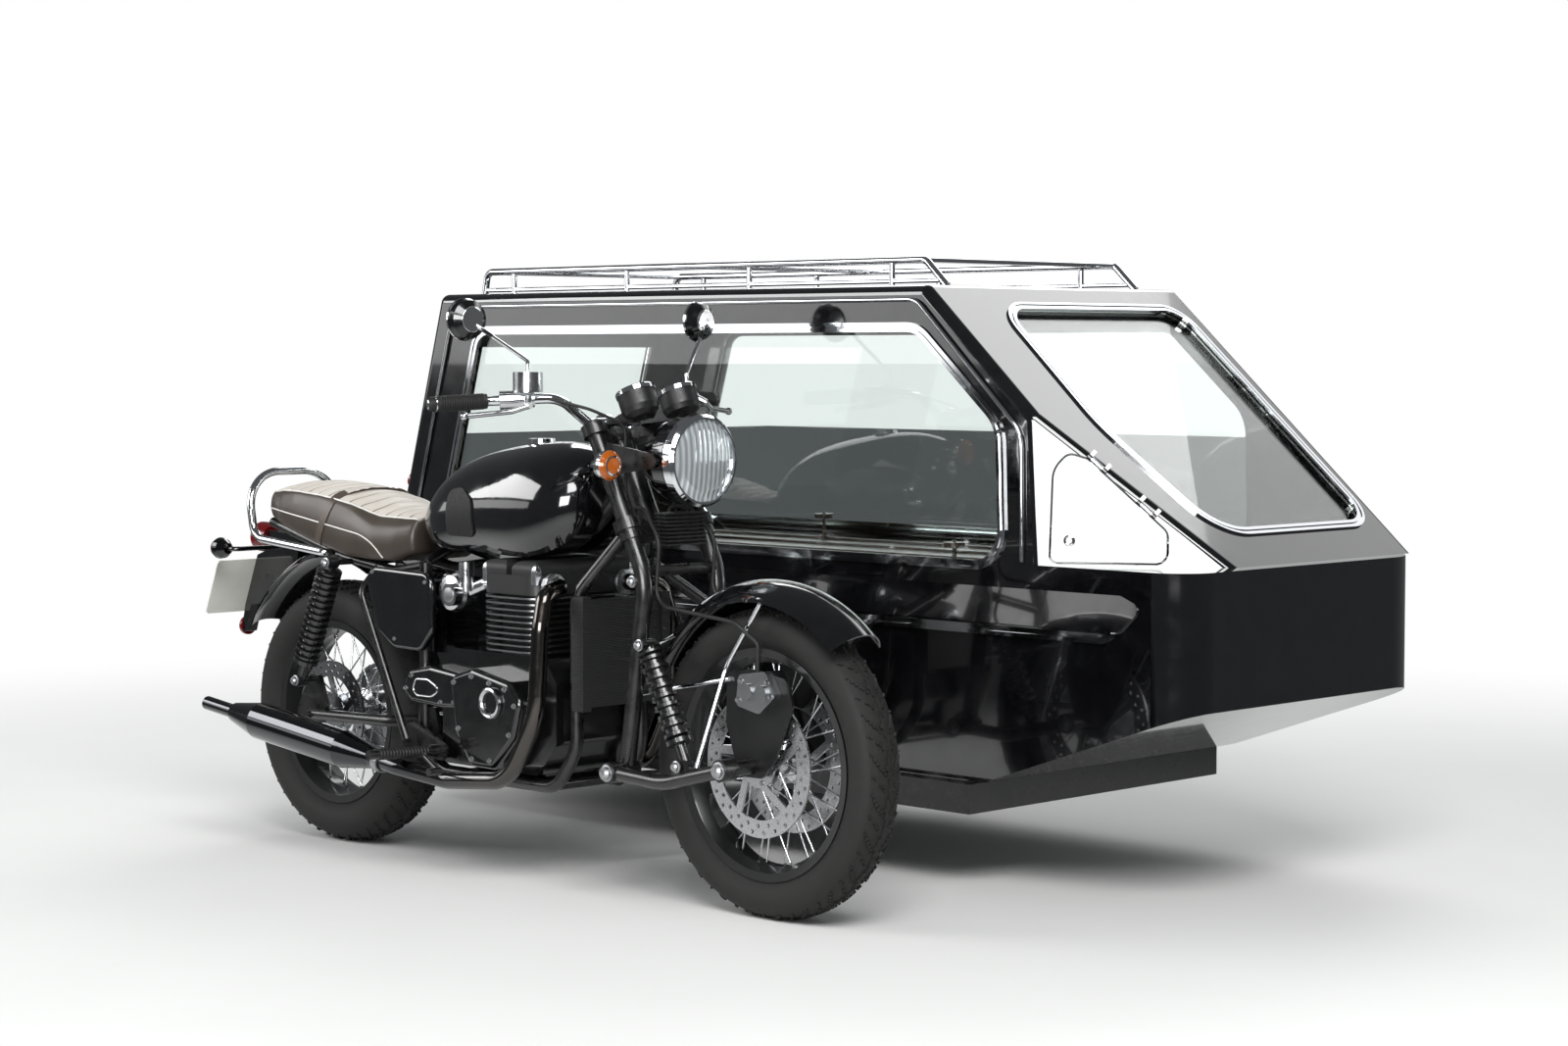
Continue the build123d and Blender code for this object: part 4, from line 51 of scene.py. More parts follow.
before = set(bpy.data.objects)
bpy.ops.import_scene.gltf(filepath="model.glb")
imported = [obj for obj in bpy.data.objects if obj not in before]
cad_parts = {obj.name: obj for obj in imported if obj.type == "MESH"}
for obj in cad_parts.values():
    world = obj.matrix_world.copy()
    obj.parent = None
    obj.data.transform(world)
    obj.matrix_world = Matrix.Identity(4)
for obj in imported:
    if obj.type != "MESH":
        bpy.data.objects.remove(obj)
cad_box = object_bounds()


def spot(x, y, z):
    return Vector(((REAR_AXLE_X + x) * MM, (BIKE_Y + y) * MM, z * MM))


def linear(hex_colour):
    """An sRGB hex colour as the linear colour that a shader takes."""
    levels = []
    for start in (1, 3, 5):
        level = int(hex_colour[start : start + 2], 16) / 255
        levels.append(level / 12.92 if level <= 0.04045 else ((level + 0.055) / 1.055) ** 2.4)
    return (*levels, 1.0)


# Finishes

# The seat's sewn channels, ahead of the rear axle: the first one and the distance between them
FIRST_CHANNEL = -184.0
CHANNEL_PITCH = 40.0


def add(tree, kind, settings=None, links=None):
    """A node with its settings, by property or socket, and links, socket to node or (node, output)."""
    node = tree.nodes.new(kind)
    for key, value in (settings or {}).items():
        if isinstance(key, str) and hasattr(node, key):
            setattr(node, key, value)
        else:
            node.inputs[key].default_value = value
    for socket, source in (links or {}).items():
        start, output = source if isinstance(source, tuple) else (source, 0)
        tree.links.new(start.outputs[output], node.inputs[socket])
    return node


def finish(name, settings, links):
    """A material on the principled shader; links(tree, place) gives the sockets that a pattern drives.

    The place that patterns follow is the piece's own coordinates, in metres.
    """
    material = bpy.data.materials.new(name)
    material.use_nodes = True
    tree = material.node_tree
    tree.nodes.clear()
    place = (add(tree, "ShaderNodeTexCoord"), "Object")
    shader = add(tree, "ShaderNodeBsdfPrincipled", settings, links(tree, place))
    add(tree, "ShaderNodeOutputMaterial", links={"Surface": shader})
    return material


# The mix node's sockets for colours, which share their names with those for numbers
COLOUR_A = 6
COLOUR_B = 7
COLOUR_OUT = 2
# One band of the wave texture at a scale of one, in metres
WAVE_BAND = 2 * pi / 20
# The span of values that most of a noise lies in
NOISE_LOW = 0.3
NOISE_HIGH = 0.7


def patterned(name, settings=None, colour=None, rough=None, relief=None):
    """A material whose colour, roughness and relief follow noises on the piece's own coordinates.

    A noise is its pitch in millimetres, its detail and how rough it is. The colour is two hex colours,
    a noise and the span of it that runs from one to the other; the roughness is its least and most and
    a noise; the relief is its strength, its height in millimetres and a noise.
    """

    def links(tree, place):
        driven = {}
        for socket, pattern in {"Base Color": colour, "Roughness": rough, "Normal": relief}.items():
            if not pattern:
                continue
            first, second, (pitch, detail, fineness), *span = pattern
            grain = add(
                tree,
                "ShaderNodeTexNoise",
                {"Scale": METRE / pitch, "Detail": detail, "Roughness": fineness},
                {"Vector": place},
            )
            if socket == "Base Color":
                low, high = span[0]
                share = add(
                    tree, "ShaderNodeMapRange", {"From Min": low, "From Max": high}, {"Value": grain}
                )
                mixed = add(
                    tree,
                    "ShaderNodeMix",
                    {"data_type": "RGBA", COLOUR_A: linear(first), COLOUR_B: linear(second)},
                    {0: share},
                )
                driven[socket] = (mixed, COLOUR_OUT)
            elif socket == "Roughness":
                driven[socket] = add(
                    tree,
                    "ShaderNodeMapRange",
                    {"From Min": NOISE_LOW, "From Max": NOISE_HIGH, "To Min": first, "To Max": second},
                    {"Value": grain},
                )
            else:
                driven[socket] = add(
                    tree,
                    "ShaderNodeBump",
                    {"Strength": first, "Distance": second * MM},
                    {"Height": grain},
                )
        return driven

    return finish(name, settings, links)


def ribbed(name, settings, bands, colour, relief):
    """A material with even ribs on the piece's own coordinates.

    The bands are the axis that the ribs follow each other on and their pitch in millimetres, the
    colour is that of groove and crest, the groove's painted dark as shade and the crest's painted
    light as a highlight, and the relief is its strength and its height in millimetres.
    """

    def links(tree, place):
        across, pitch = bands
        wave = add(
            tree,
            "ShaderNodeTexWave",
            {"bands_direction": across, "Scale": WAVE_BAND / (pitch * MM)},
            {"Vector": place},
        )
        shaded_groove, lit_crest = colour
        # Painted shade in the grooves and painted highlights on the crests, following the ribs' wave
        mixed = add(
            tree,
            "ShaderNodeMix",
            {"data_type": "RGBA", COLOUR_A: linear(shaded_groove), COLOUR_B: linear(lit_crest)},
            {0: (wave, "Fac")},
        )
        strength, height = relief
        raised = add(
            tree,
            "ShaderNodeBump",
            {"Strength": strength, "Distance": height * MM},
            {"Height": (wave, "Fac")},
        )
        return {"Base Color": (mixed, COLOUR_OUT), "Normal": raised}

    return finish(name, settings, links)


# Stoved black enamel under clear lacquer: deep gloss, a trace of orange peel, dust in the lacquer
coach_black = patterned(
    "stoved_black_enamel",
    {"Coat Weight": 1.0, "Coat Roughness": 0.03},
    colour=("#08080a", "#101013", (60, 6, 0.6), (0.35, 0.8)),
    rough=(0.05, 0.16, (60, 6, 0.6)),
    relief=(0.25, 0.03, (9, 1, 0.5)),
)

# Semi-matt frame enamel, brushed by hand: softer gloss and a little road dust
frame_black = patterned(
    "frame_enamel",
    {"Coat Weight": 0.3, "Coat Roughness": 0.1},
    colour=("#0c0c0d", "#1c1b1a", (25, 5, 0.65), (0.4, 0.8)),
    rough=(0.22, 0.42, (25, 5, 0.65)),
)

# Heat-proof engine paint over a sand-cast skin: fine pebbly bumps, low sheen
engine_black = patterned(
    "engine_paint",
    colour=("#151515", "#232322", (40, 3, 0.5), (0.0, 1.0)),
    rough=(0.4, 0.6, (20, 3, 0.5)),
    relief=(0.5, 0.12, (1.6, 2, 0.5)),
)

# Gloss black enamel of the engine covers, over a die casting
cover_black = patterned(
    "engine_cover_enamel",
    {"Coat Weight": 0.7, "Coat Roughness": 0.07},
    colour=("#0b0b0c", "#121213", (24, 3, 0.5), (0.0, 1.0)),
    rough=(0.12, 0.22, (24, 3, 0.5)),
    relief=(0.2, 0.02, (5, 2, 0.5)),
)

# Powder-coated spring steel, worn bright nowhere
spring_black = patterned(
    "spring_enamel",
    {"Coat Weight": 0.8, "Coat Roughness": 0.08},
    colour=("#0e0e0f", "#19191a", (9, 3, 0.5), (0.0, 1.0)),
    rough=(0.22, 0.36, (14, 4, 0.5)),
)

# Polished die-cast aluminium: bright with soft buffing haze
polished = patterned(
    "polished_aluminium",
    {"Metallic": 1.0},
    colour=("#b9bbbd", "#d5d6d7", (18, 4, 0.5), (0.0, 1.0)),
    rough=(0.12, 0.27, (18, 4, 0.5)),
    relief=(0.3, 0.02, (3, 2, 0.5)),
)

# Bright chrome plate on steel: a mirror with faint wiping marks
chrome = patterned(
    "chrome_plate",
    {"Metallic": 1.0, "Base Color": linear("#dfe1e4")},
    rough=(0.03, 0.11, (30, 5, 0.7)),
)


# Black chrome of the exhaust headers: a dark mirror, a little browner towards the engine
COOL_X = 500.0
HOT_X = 900.0


def header_links(tree, place):
    along = add(tree, "ShaderNodeSeparateXYZ", links={0: place})
    heat = add(
        tree,
        "ShaderNodeMapRange",
        {"From Min": spot(COOL_X, 0, 0).x, "From Max": spot(HOT_X, 0, 0).x},
        {"Value": along},
    )
    colour = add(
        tree,
        "ShaderNodeMix",
        {"data_type": "RGBA", COLOUR_A: linear("#3c3d40"), COLOUR_B: linear("#4c4845")},
        {0: heat},
    )
    smears = add(
        tree,
        "ShaderNodeTexNoise",
        {"Scale": METRE / 22, "Detail": 5, "Roughness": 0.7},
        {"Vector": place},
    )
    rough = add(
        tree,
        "ShaderNodeMapRange",
        {"From Min": NOISE_LOW, "From Max": NOISE_HIGH, "To Min": 0.1, "To Max": 0.2},
        {"Value": smears},
    )
    return {"Base Color": (colour, COLOUR_OUT), "Roughness": rough}


header_chrome = finish("heated_black_chrome", {"Metallic": 1.0, "Coat Weight": 0.5}, header_links)

# Black chrome of the silencers: a dark mirror with faint wiping marks
dark_chrome = patterned(
    "black_chrome",
    {"Metallic": 1.0, "Base Color": linear("#3a3b3e"), "Coat Weight": 0.6, "Coat Roughness": 0.03},
    rough=(0.06, 0.14, (30, 5, 0.7)),
)


# Turned stainless brake disc: fine rings left by the pads, about the wheel's axle
def disc_links(tree, place):
    out, through = METRE / 2.5, METRE / 250
    stretch = add(tree, "ShaderNodeMapping", {"Scale": (out, through, out)}, {"Vector": place})
    rings = add(tree, "ShaderNodeTexNoise", {"Scale": 1.0, "Detail": 2.0}, {"Vector": stretch})
    colour = add(
        tree,
        "ShaderNodeMix",
        {"data_type": "RGBA", COLOUR_A: linear("#a6a7a9"), COLOUR_B: linear("#cfd0d2")},
        {0: (rings, "Fac")},
    )
    rough = add(
        tree,
        "ShaderNodeMapRange",
        {"From Min": NOISE_LOW, "From Max": NOISE_HIGH, "To Min": 0.22, "To Max": 0.42},
        {"Value": (rings, "Fac")},
    )
    return {"Base Color": (colour, COLOUR_OUT), "Roughness": rough}


disc_steel = finish("turned_steel", {"Metallic": 1.0}, disc_links)

# Zinc-plated steel hardware: dull grey metal, a little grime
zinc = patterned(
    "zinc_plated_steel",
    {"Metallic": 1.0},
    colour=("#8c8e90", "#b4b6b8", (7, 4, 0.5), (0.0, 1.0)),
    rough=(0.25, 0.5, (7, 4, 0.5)),
)

# Tyre rubber, vulcanised: matt, greyed by road dust on the tread's edges
tyre_rubber = patterned(
    "tyre_rubber",
    {"Specular IOR Level": 0.35},
    colour=("#131313", "#2b2a28", (14, 6, 0.7), (0.3, 0.9)),
    rough=(0.62, 0.85, (14, 6, 0.7)),
    relief=(0.4, 0.08, (1.2, 2, 0.5)),
)

# Moulded black rubber for grips, pegs and knee pads
rubber = patterned(
    "moulded_rubber",
    {"Specular IOR Level": 0.4},
    colour=("#101010", "#1c1c1b", (6, 3, 0.5), (0.0, 1.0)),
    rough=(0.5, 0.7, (5, 3, 0.5)),
    relief=(0.4, 0.05, (0.9, 2, 0.5)),
)

# Black polyamide mouldings: fine spark-eroded grain
black_plastic = patterned(
    "black_polyamide",
    {"Base Color": linear("#131314")},
    rough=(0.36, 0.5, (8, 3, 0.5)),
    relief=(0.5, 0.04, (0.8, 2, 0.5)),
)


# Grey-brown seat vinyl, calendered with a leather grain: the top painted pale as if lit from above, the
# sides painted darker as if in shade, and a dark line along each sewn channel
def vinyl_links(tree, place):
    grain = add(
        tree,
        "ShaderNodeTexVoronoi",
        {"Scale": METRE / 2.2, "feature": "SMOOTH_F1"},
        {"Vector": place},
    )
    wear = add(tree, "ShaderNodeTexNoise", {"Scale": METRE / 70, "Detail": 4}, {"Vector": place})
    along = add(tree, "ShaderNodeSeparateXYZ", links={0: place})
    from_first = add(
        tree,
        "ShaderNodeMath",
        {"operation": "SUBTRACT", 1: (REAR_AXLE_X + FIRST_CHANNEL) * MM},
        {0: along},
    )
    off_seam = add(
        tree,
        "ShaderNodeMath",
        {"operation": "PINGPONG", 1: CHANNEL_PITCH / 2 * MM},
        {0: from_first},
    )
    stitched = add(
        tree,
        "ShaderNodeMapRange",
        {"From Min": 1.2 * MM, "From Max": 3.6 * MM, "To Min": 1.0, "To Max": 0.0},
        {"Value": off_seam},
    )
    panel = add(tree, "ShaderNodeAttribute", {"attribute_name": "lit_top_panel"})
    seam = add(tree, "ShaderNodeMath", {"operation": "MULTIPLY"}, {0: stitched, 1: (panel, "Fac")})
    # Painted light and shade: the sides are painted darker as if in shade and the top paler as if lit
    # from above; the top panel's mask picks between them
    sides = add(
        tree,
        "ShaderNodeMix",
        {"data_type": "RGBA", COLOUR_A: linear("#3f3832"), COLOUR_B: linear("#4b433c")},
        {0: wear},
    )
    top = add(
        tree,
        "ShaderNodeMix",
        {"data_type": "RGBA", COLOUR_A: linear("#cfc7bd"), COLOUR_B: linear("#ded7ce")},
        {0: wear},
    )
    lit_top_shaded_sides = add(
        tree,
        "ShaderNodeMix",
        {"data_type": "RGBA"},
        {0: (panel, "Fac"), COLOUR_A: (sides, COLOUR_OUT), COLOUR_B: (top, COLOUR_OUT)},
    )
    colour = add(
        tree,
        "ShaderNodeMix",
        {"data_type": "RGBA", COLOUR_B: linear("#231d19")},
        {0: seam, COLOUR_A: (lit_top_shaded_sides, COLOUR_OUT)},
    )
    rough = add(
        tree,
        "ShaderNodeMapRange",
        {"From Min": NOISE_LOW, "From Max": NOISE_HIGH, "To Min": 0.3, "To Max": 0.42},
        {"Value": wear},
    )
    relief = add(
        tree,
        "ShaderNodeBump",
        {"Strength": 0.4, "Distance": 0.1 * MM},
        {"Height": (grain, "Distance")},
    )
    return {"Base Color": (colour, COLOUR_OUT), "Roughness": rough, "Normal": relief}


seat_vinyl = finish("seat_vinyl", {"Specular IOR Level": 0.45}, vinyl_links)

# White piping of the seat: thin extruded vinyl cord
piping_vinyl = patterned(
    "piping_vinyl", {"Base Color": linear("#e6e4de")}, rough=(0.35, 0.5, (12, 3, 0.5))
)

# The strap across the seat: smooth dark vinyl webbing
seat_strap_vinyl = patterned(
    "strap_vinyl",
    colour=("#4a4039", "#5a4e45", (30, 3, 0.5), (0.0, 1.0)),
    rough=(0.35, 0.5, (2, 2, 0.5)),
    relief=(0.4, 0.08, (2, 2, 0.5)),
)

# Silvered mirror glass
mirror_silver = patterned(
    "silvered_glass",
    {"Metallic": 1.0, "Base Color": linear("#eef0f1")},
    rough=(0.0, 0.03, (40, 3, 0.5)),
)

# Toughened glass: clear, faintly green at its edges
pane_glass = patterned(
    "toughened_glass",
    {"Base Color": linear("#f4f9f7"), "Transmission Weight": 1.0, "IOR": 1.45},
    rough=(0.0, 0.012, (120, 4, 0.5)),
)

# Pressed headlamp glass: upright flutes over a bright bowl, painted darker in the flutes' grooves as
# shade and paler on their crests as highlights
lamp_glass = ribbed(
    "pressed_lamp_glass",
    {"Metallic": 0.55, "Roughness": 0.08, "Coat Weight": 1.0, "Coat Roughness": 0.02},
    bands=("Y", 14.28),
    colour=("#a9b0b4", "#e7ecee"),
    relief=(0.8, 1.5),
)

# Red acrylic of the sidecar's lamps, moulded with fine ribs across it, painted darker in the grooves as
# shade and brighter on the crests as highlights
red_acrylic = ribbed(
    "red_acrylic",
    {"Roughness": 0.12, "Coat Weight": 0.6, "Coat Roughness": 0.03},
    bands=("Z", 5.236),
    colour=("#5a0608", "#9c1013"),
    relief=(0.5, 0.4),
)

# Blank reflective number plate
plate_white = patterned(
    "plate_sheet",
    {"Roughness": 0.35, "Coat Weight": 0.4},
    colour=("#d8d7cf", "#e4e3dc", (30, 3, 0.5), (0.0, 1.0)),
)

# Silver wheel enamel with fine metal flake
wheel_silver = patterned(
    "silver_enamel",
    {"Metallic": 0.6, "Coat Weight": 0.5},
    colour=("#8d8f92", "#b3b5b8", (0.9, 1, 0.5), (0.0, 1.0)),
    rough=(0.25, 0.38, (30, 3, 0.5)),
)


# Varnished dark oak deck: long grain along the sidecar, satin varnish
def deck_links(tree, place):
    along, across = METRE / 166.667, METRE / 7.143
    stretch = add(tree, "ShaderNodeMapping", {"Scale": (along, across, across)}, {"Vector": place})
    grain = add(
        tree,
        "ShaderNodeTexNoise",
        {"Scale": 1.0, "Detail": 6.0, "Roughness": 0.6, "Distortion": 0.4},
        {"Vector": stretch},
    )
    tint = add(
        tree,
        "ShaderNodeMapRange",
        {"From Min": NOISE_LOW, "From Max": NOISE_HIGH},
        {"Value": (grain, "Fac")},
    )
    colour = add(
        tree,
        "ShaderNodeMix",
        {"data_type": "RGBA", COLOUR_A: linear("#1d120b"), COLOUR_B: linear("#3d2817")},
        {0: tint},
    )
    rough = add(
        tree,
        "ShaderNodeMapRange",
        {"From Min": NOISE_LOW, "From Max": NOISE_HIGH, "To Min": 0.25, "To Max": 0.4},
        {"Value": (grain, "Fac")},
    )
    relief = add(
        tree, "ShaderNodeBump", {"Strength": 0.3, "Distance": 0.15 * MM}, {"Height": (grain, "Fac")}
    )
    return {"Base Color": (colour, COLOUR_OUT), "Roughness": rough, "Normal": relief}


deck_oak = finish("varnished_oak", {"Coat Weight": 0.4, "Coat Roughness": 0.15}, deck_links)


def two_metals(name, mask, inside, outside, shine=(1.0, 0.0), gloss=(0.14, 0.3), coat=0.0):
    """One piece in two surfaces, parted by a mask on its own coordinates: one where it is 1."""

    def links(tree, place):
        part = mask(tree, place)
        wear = add(
            tree, "ShaderNodeTexNoise", {"Scale": METRE / 16, "Detail": 4}, {"Vector": place}
        )
        rough = add(
            tree, "ShaderNodeMapRange", {"To Min": gloss[1], "To Max": gloss[0]}, {"Value": part}
        )
        uneven = add(
            tree,
            "ShaderNodeMath",
            {"operation": "MULTIPLY_ADD", 1: 0.1},
            {0: wear, 2: rough},
        )
        colour = add(
            tree,
            "ShaderNodeMix",
            {"data_type": "RGBA", COLOUR_A: linear(outside), COLOUR_B: linear(inside)},
            {0: part},
        )
        metal = add(
            tree, "ShaderNodeMapRange", {"To Min": shine[1], "To Max": shine[0]}, {"Value": part}
        )
        return {"Base Color": (colour, COLOUR_OUT), "Metallic": metal, "Roughness": uneven}

    return finish(name, {"Coat Weight": coat, "Coat Roughness": 0.04}, links)


ORIGIN = (0.0, 0.0, 0.0)


def length_after(tree, place, steps):
    """How long the piece's own coordinates are, in metres, after steps of (operation, other vector)."""
    vector = place
    for operation, other in steps:
        vector = add(tree, "ShaderNodeVectorMath", {"operation": operation, 1: other}, {0: vector})
    return add(tree, "ShaderNodeVectorMath", {"operation": "LENGTH"}, {0: vector}), "Value"


def past(tree, length, limit_mm, softness_mm=0.6):
    """One where a length in metres is past a limit in millimetres, nothing below it."""
    low, high = (limit_mm - softness_mm) * MM, (limit_mm + softness_mm) * MM
    return add(tree, "ShaderNodeMapRange", {"From Min": low, "From Max": high}, {"Value": length})


def wheel_mask(centre, rim_from):
    """One on the hub and the spokes, nothing on the rim past this radius."""

    def mask(tree, place):
        reach = length_after(tree, place, [("SUBTRACT", spot(*centre)), ("MULTIPLY", (1, 0, 1))])
        edge = past(tree, reach, rim_from)
        return add(tree, "ShaderNodeMath", {"operation": "SUBTRACT", 0: 1.0}, {1: edge})

    return mask


# Wire wheels: bright steel spokes and cast hub in a rim of black enamel
front_wheel_finish = two_metals(
    "wire_wheel_front", wheel_mask((1490, 0, 331.5), 214), "#c6c8ca", "#0b0b0c", coat=0.4
)
rear_wheel_finish = two_metals(
    "wire_wheel_rear", wheel_mask((0, 0, 321), 190), "#c6c8ca", "#0b0b0c", coat=0.4
)


# Finned cylinders: black heat-proof paint, the fins' edges machined bright. The paint keeps to a
# box about the cylinders' middle with rounded upright corners
FIN_MIDDLE_X = 785
FIN_BOX_HALF = (46, 104)
FIN_CORNER = 56.6


def fin_mask(tree, place):
    half_x, half_y = FIN_BOX_HALF
    beyond = length_after(
        tree,
        place,
        [
            ("SUBTRACT", spot(FIN_MIDDLE_X, 0, 0)),
            ("ABSOLUTE", ORIGIN),
            ("SUBTRACT", (half_x * MM, half_y * MM, 10.0)),
            ("MAXIMUM", ORIGIN),
        ],
    )
    return past(tree, beyond, FIN_CORNER, 0.5)


finned_black = two_metals("finned_engine_paint", fin_mask, "#b8babc", "#161616", gloss=(0.2, 0.5))


# Front calipers: machined alloy bodies on a carrier of black enamel
CALIPER_FACE_Y = 73


def caliper_mask(tree, place):
    across = length_after(tree, place, [("SUBTRACT", spot(0, 0, 0)), ("MULTIPLY", (0, 1, 0))])
    return past(tree, across, CALIPER_FACE_Y)


caliper_finish = two_metals("caliper_alloy", caliper_mask, "#9c9ea0", "#0d0d0e", gloss=(0.25, 0.3))


def behind_mask(x):
    """One behind a place along the vehicle, nothing ahead of it."""

    def mask(tree, place):
        astern = add(
            tree,
            "ShaderNodeVectorMath",
            {"operation": "DOT_PRODUCT", 1: (-1, 0, 0)},
            {0: place},
        )
        return past(tree, (astern, "Value"), -(REAR_AXLE_X + x))

    return mask


# Mirrors: chromed stalks and back caps on bowls of black enamel, a ring about each mirror's middle
MIRROR_MIDDLE = (350, 1282)
BOWL_RING = (28, 52)


def mirror_mask(tree, place):
    across, height = MIRROR_MIDDLE
    inner, outer = BOWL_RING
    reach = length_after(
        tree,
        place,
        [
            ("SUBTRACT", spot(0, 0, 0)),
            ("ABSOLUTE", ORIGIN),
            ("SUBTRACT", (0, across * MM, height * MM)),
            ("MULTIPLY", (0, 1, 1)),
        ],
    )
    inside = past(tree, reach, inner)
    outside = past(tree, reach, outer)
    ring = add(tree, "ShaderNodeMath", {"operation": "SUBTRACT"}, {0: inside, 1: outside})
    return add(tree, "ShaderNodeMath", {"operation": "SUBTRACT", 0: 1.0}, {1: ring})


mirror_finish = two_metals(
    "mirror_chrome_and_enamel", mirror_mask, "#e2e4e6", "#0b0b0c", gloss=(0.06, 0.12), coat=0.5
)

# Front indicators: chromed bowls behind amber lenses; rear bullets the other way round
indicator_finish = two_metals(
    "indicator_bowl_and_lens", behind_mask(1152), "#d8dadc", "#a9540c", gloss=(0.05, 0.12), coat=0.5
)

tail_lamp_finish = two_metals(
    "tail_lamp_bowl_and_lens", behind_mask(-326), "#6c0a0c", "#3a3b3d", (0.0, 1.0), (0.12, 0.08), 0.5
)

# Radiator core, soldered and painted: close fins across, with painted shade between the fins and
# painted highlights on their edges
radiator_core = ribbed(
    "radiator_core",
    {"Roughness": 0.55},
    bands=("Z", 3.49),
    colour=("#070707", "#1f1f20"),
    relief=(0.8, 1.0),
)

NODE_FINISHES = {
    "main_frame": frame_black,
    "engine_case": cover_black,
    "cylinders": finned_black,
    "radiator": radiator_core,
    "fuel_tank": coach_black,
    "side_panels": coach_black,
    "throttle_bodies": polished,
    "exhaust_headers": header_chrome,
    "silencers": dark_chrome,
    "swingarm": frame_black,
    "rear_shocks": spring_black,
    "rear_mudguard": coach_black,
    "grab_rail": chrome,
    "rear_lamps": tail_lamp_finish,
    "number_plate": plate_white,
    "foot_controls": frame_black,
    "drive_chain": zinc,
    "sidecar_chassis": frame_black,
    "sidecar_lower_body": coach_black,
    "sidecar_upper_body": coach_black,
    "side_windows": pane_glass,
    "windscreen": pane_glass,
    "chrome_trims": chrome,
    "roof_rails": chrome,
    "coffin_deck": deck_oak,
    "steering_fork": frame_black,
    "leading_links": frame_black,
    "front_shocks": spring_black,
    "front_mudguard": coach_black,
    "mudguard_stays": chrome,
    "brake_calipers": caliper_finish,
    "torque_arms": chrome,
    "headlamp_shell": coach_black,
    "headlamp_rim": chrome,
    "headlamp_lens": lamp_glass,
    "instruments": black_plastic,
    "handlebar": chrome,
    "hand_grips": rubber,
    "hand_levers": polished,
    "mirrors": mirror_finish,
    "front_indicators": indicator_finish,
    "finned_regulator": engine_black,
    "front_wheel_rim": front_wheel_finish,
    "front_brake_discs": disc_steel,
    "rear_wheel_rim": rear_wheel_finish,
    "sidecar_wheel_rim": wheel_silver,
    "rear_door": coach_black,
    "rear_door_glass": pane_glass,
    "nose_hatch": coach_black,
    "control_cables": rubber,
    "fork_hoses": rubber,
    "sidecar_lamps": red_acrylic,
    "knee_pads": rubber,
    "front_tyre": tyre_rubber,
    "rear_tyre": tyre_rubber,
    "sidecar_tyre": tyre_rubber,
    "seat": seat_vinyl,
}
for node_name, node_finish in NODE_FINISHES.items():
    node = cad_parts.get(node_name)
    if node:
        for slot in node.material_slots:
            slot.material = node_finish


# Shapes

SHARP_EDGE = radians(32)


def made(name, mesh, material, body):
    """A finished object from a bmesh, with its normals outward, riding on a body."""
    bmesh.ops.remove_doubles(mesh, verts=mesh.verts, dist=1e-6)
    bmesh.ops.recalc_face_normals(mesh, faces=mesh.faces)
    for face in mesh.faces:
        face.smooth = True
    for edge in mesh.edges:
        if len(edge.link_faces) == 2 and edge.calc_face_angle(0.0) > SHARP_EDGE:
            edge.smooth = False
    data = bpy.data.meshes.new(name)
    mesh.to_mesh(data)
    mesh.free()
    data.materials.append(material)
    piece = bpy.data.objects.new(name, data)
    bpy.context.scene.collection.objects.link(piece)
    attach(piece, body)
    return piece


def skinned(mesh, rings, closed=False):
    """Walls from ring to ring, with a cap on each end unless the rings close on themselves."""
    pairs = list(zip(rings, rings[1:])) + ([(rings[-1], rings[0])] if closed else [])
    for ring, following in pairs:
        for number in range(len(ring)):
            onward = (number + 1) % len(ring)
            mesh.faces.new((ring[number], ring[onward], following[onward], following[number]))
    if not closed:
        mesh.faces.new(list(reversed(rings[0])))
        mesh.faces.new(rings[-1])


def turn_to(axis):
    """The turn that lays the Z axis along another."""
    return Vector(axis).to_track_quat("Z", "Y").to_matrix().to_4x4()


def lathe(mesh, profile, centre, axis, steps=48):
    """A closed ring or solid turned about an axis from (radius, distance) points in millimetres."""
    before = set(mesh.verts)
    verts = [mesh.verts.new((radius * MM, 0, along * MM)) for radius, along in profile]
    edges = [mesh.edges.new(pair) for pair in zip(verts, verts[1:] + verts[:1])]
    bmesh.ops.spin(
        mesh,
        geom=verts + edges,
        cent=(0, 0, 0),
        axis=(0, 0, 1),
        angle=2 * pi,
        steps=steps,
        use_merge=True,
    )
    added = [vert for vert in mesh.verts if vert not in before]
    bmesh.ops.transform(mesh, matrix=Matrix.Translation(centre) @ turn_to(axis), verts=added)


# Tyres

TYRES = [
    # node, body, centre, radius, width, bead radius, steps round
    ("front_tyre", "front_wheel", (1490, 0, 331.5), 331.5, 112.0, 241.0, 480),
    ("rear_tyre", "rear_wheel", (0, 0, 321), 321.0, 150.0, 217.0, 480),
    ("sidecar_tyre", "sidecar_wheel", (205, 1400, 300), 300.0, 135.0, 190.0, 480),
]
TREAD_STRIPS = 18
PATTERN_HEIGHT = 4.5
PATTERN_EDGE = 0.3
# Shares of the tyre's width: half the beads' distance, half the tread, the drop from crown to shoulder
HALF_BEAD_SHARE = 0.34
HALF_TREAD_SHARE = 0.42
SHOULDER_SHARE = 0.13
BEAD_HEIGHT = 11
# The pattern, raised off the crown, in steps round the tyre and strips across it: slanted lugs from
# near the middle to near the edge, and a waved rib along the middle
LUG_PITCH = 10
LUG_WIDTH = 1.1
LUG_SLANT = 1.6
LUG_FROM = 1.6
LUG_TO = 8.2
WAVE_HEIGHT = 1.1
WAVE_IN_RIB = 0.9
MIDDLE_RIB_HALF = 0.62


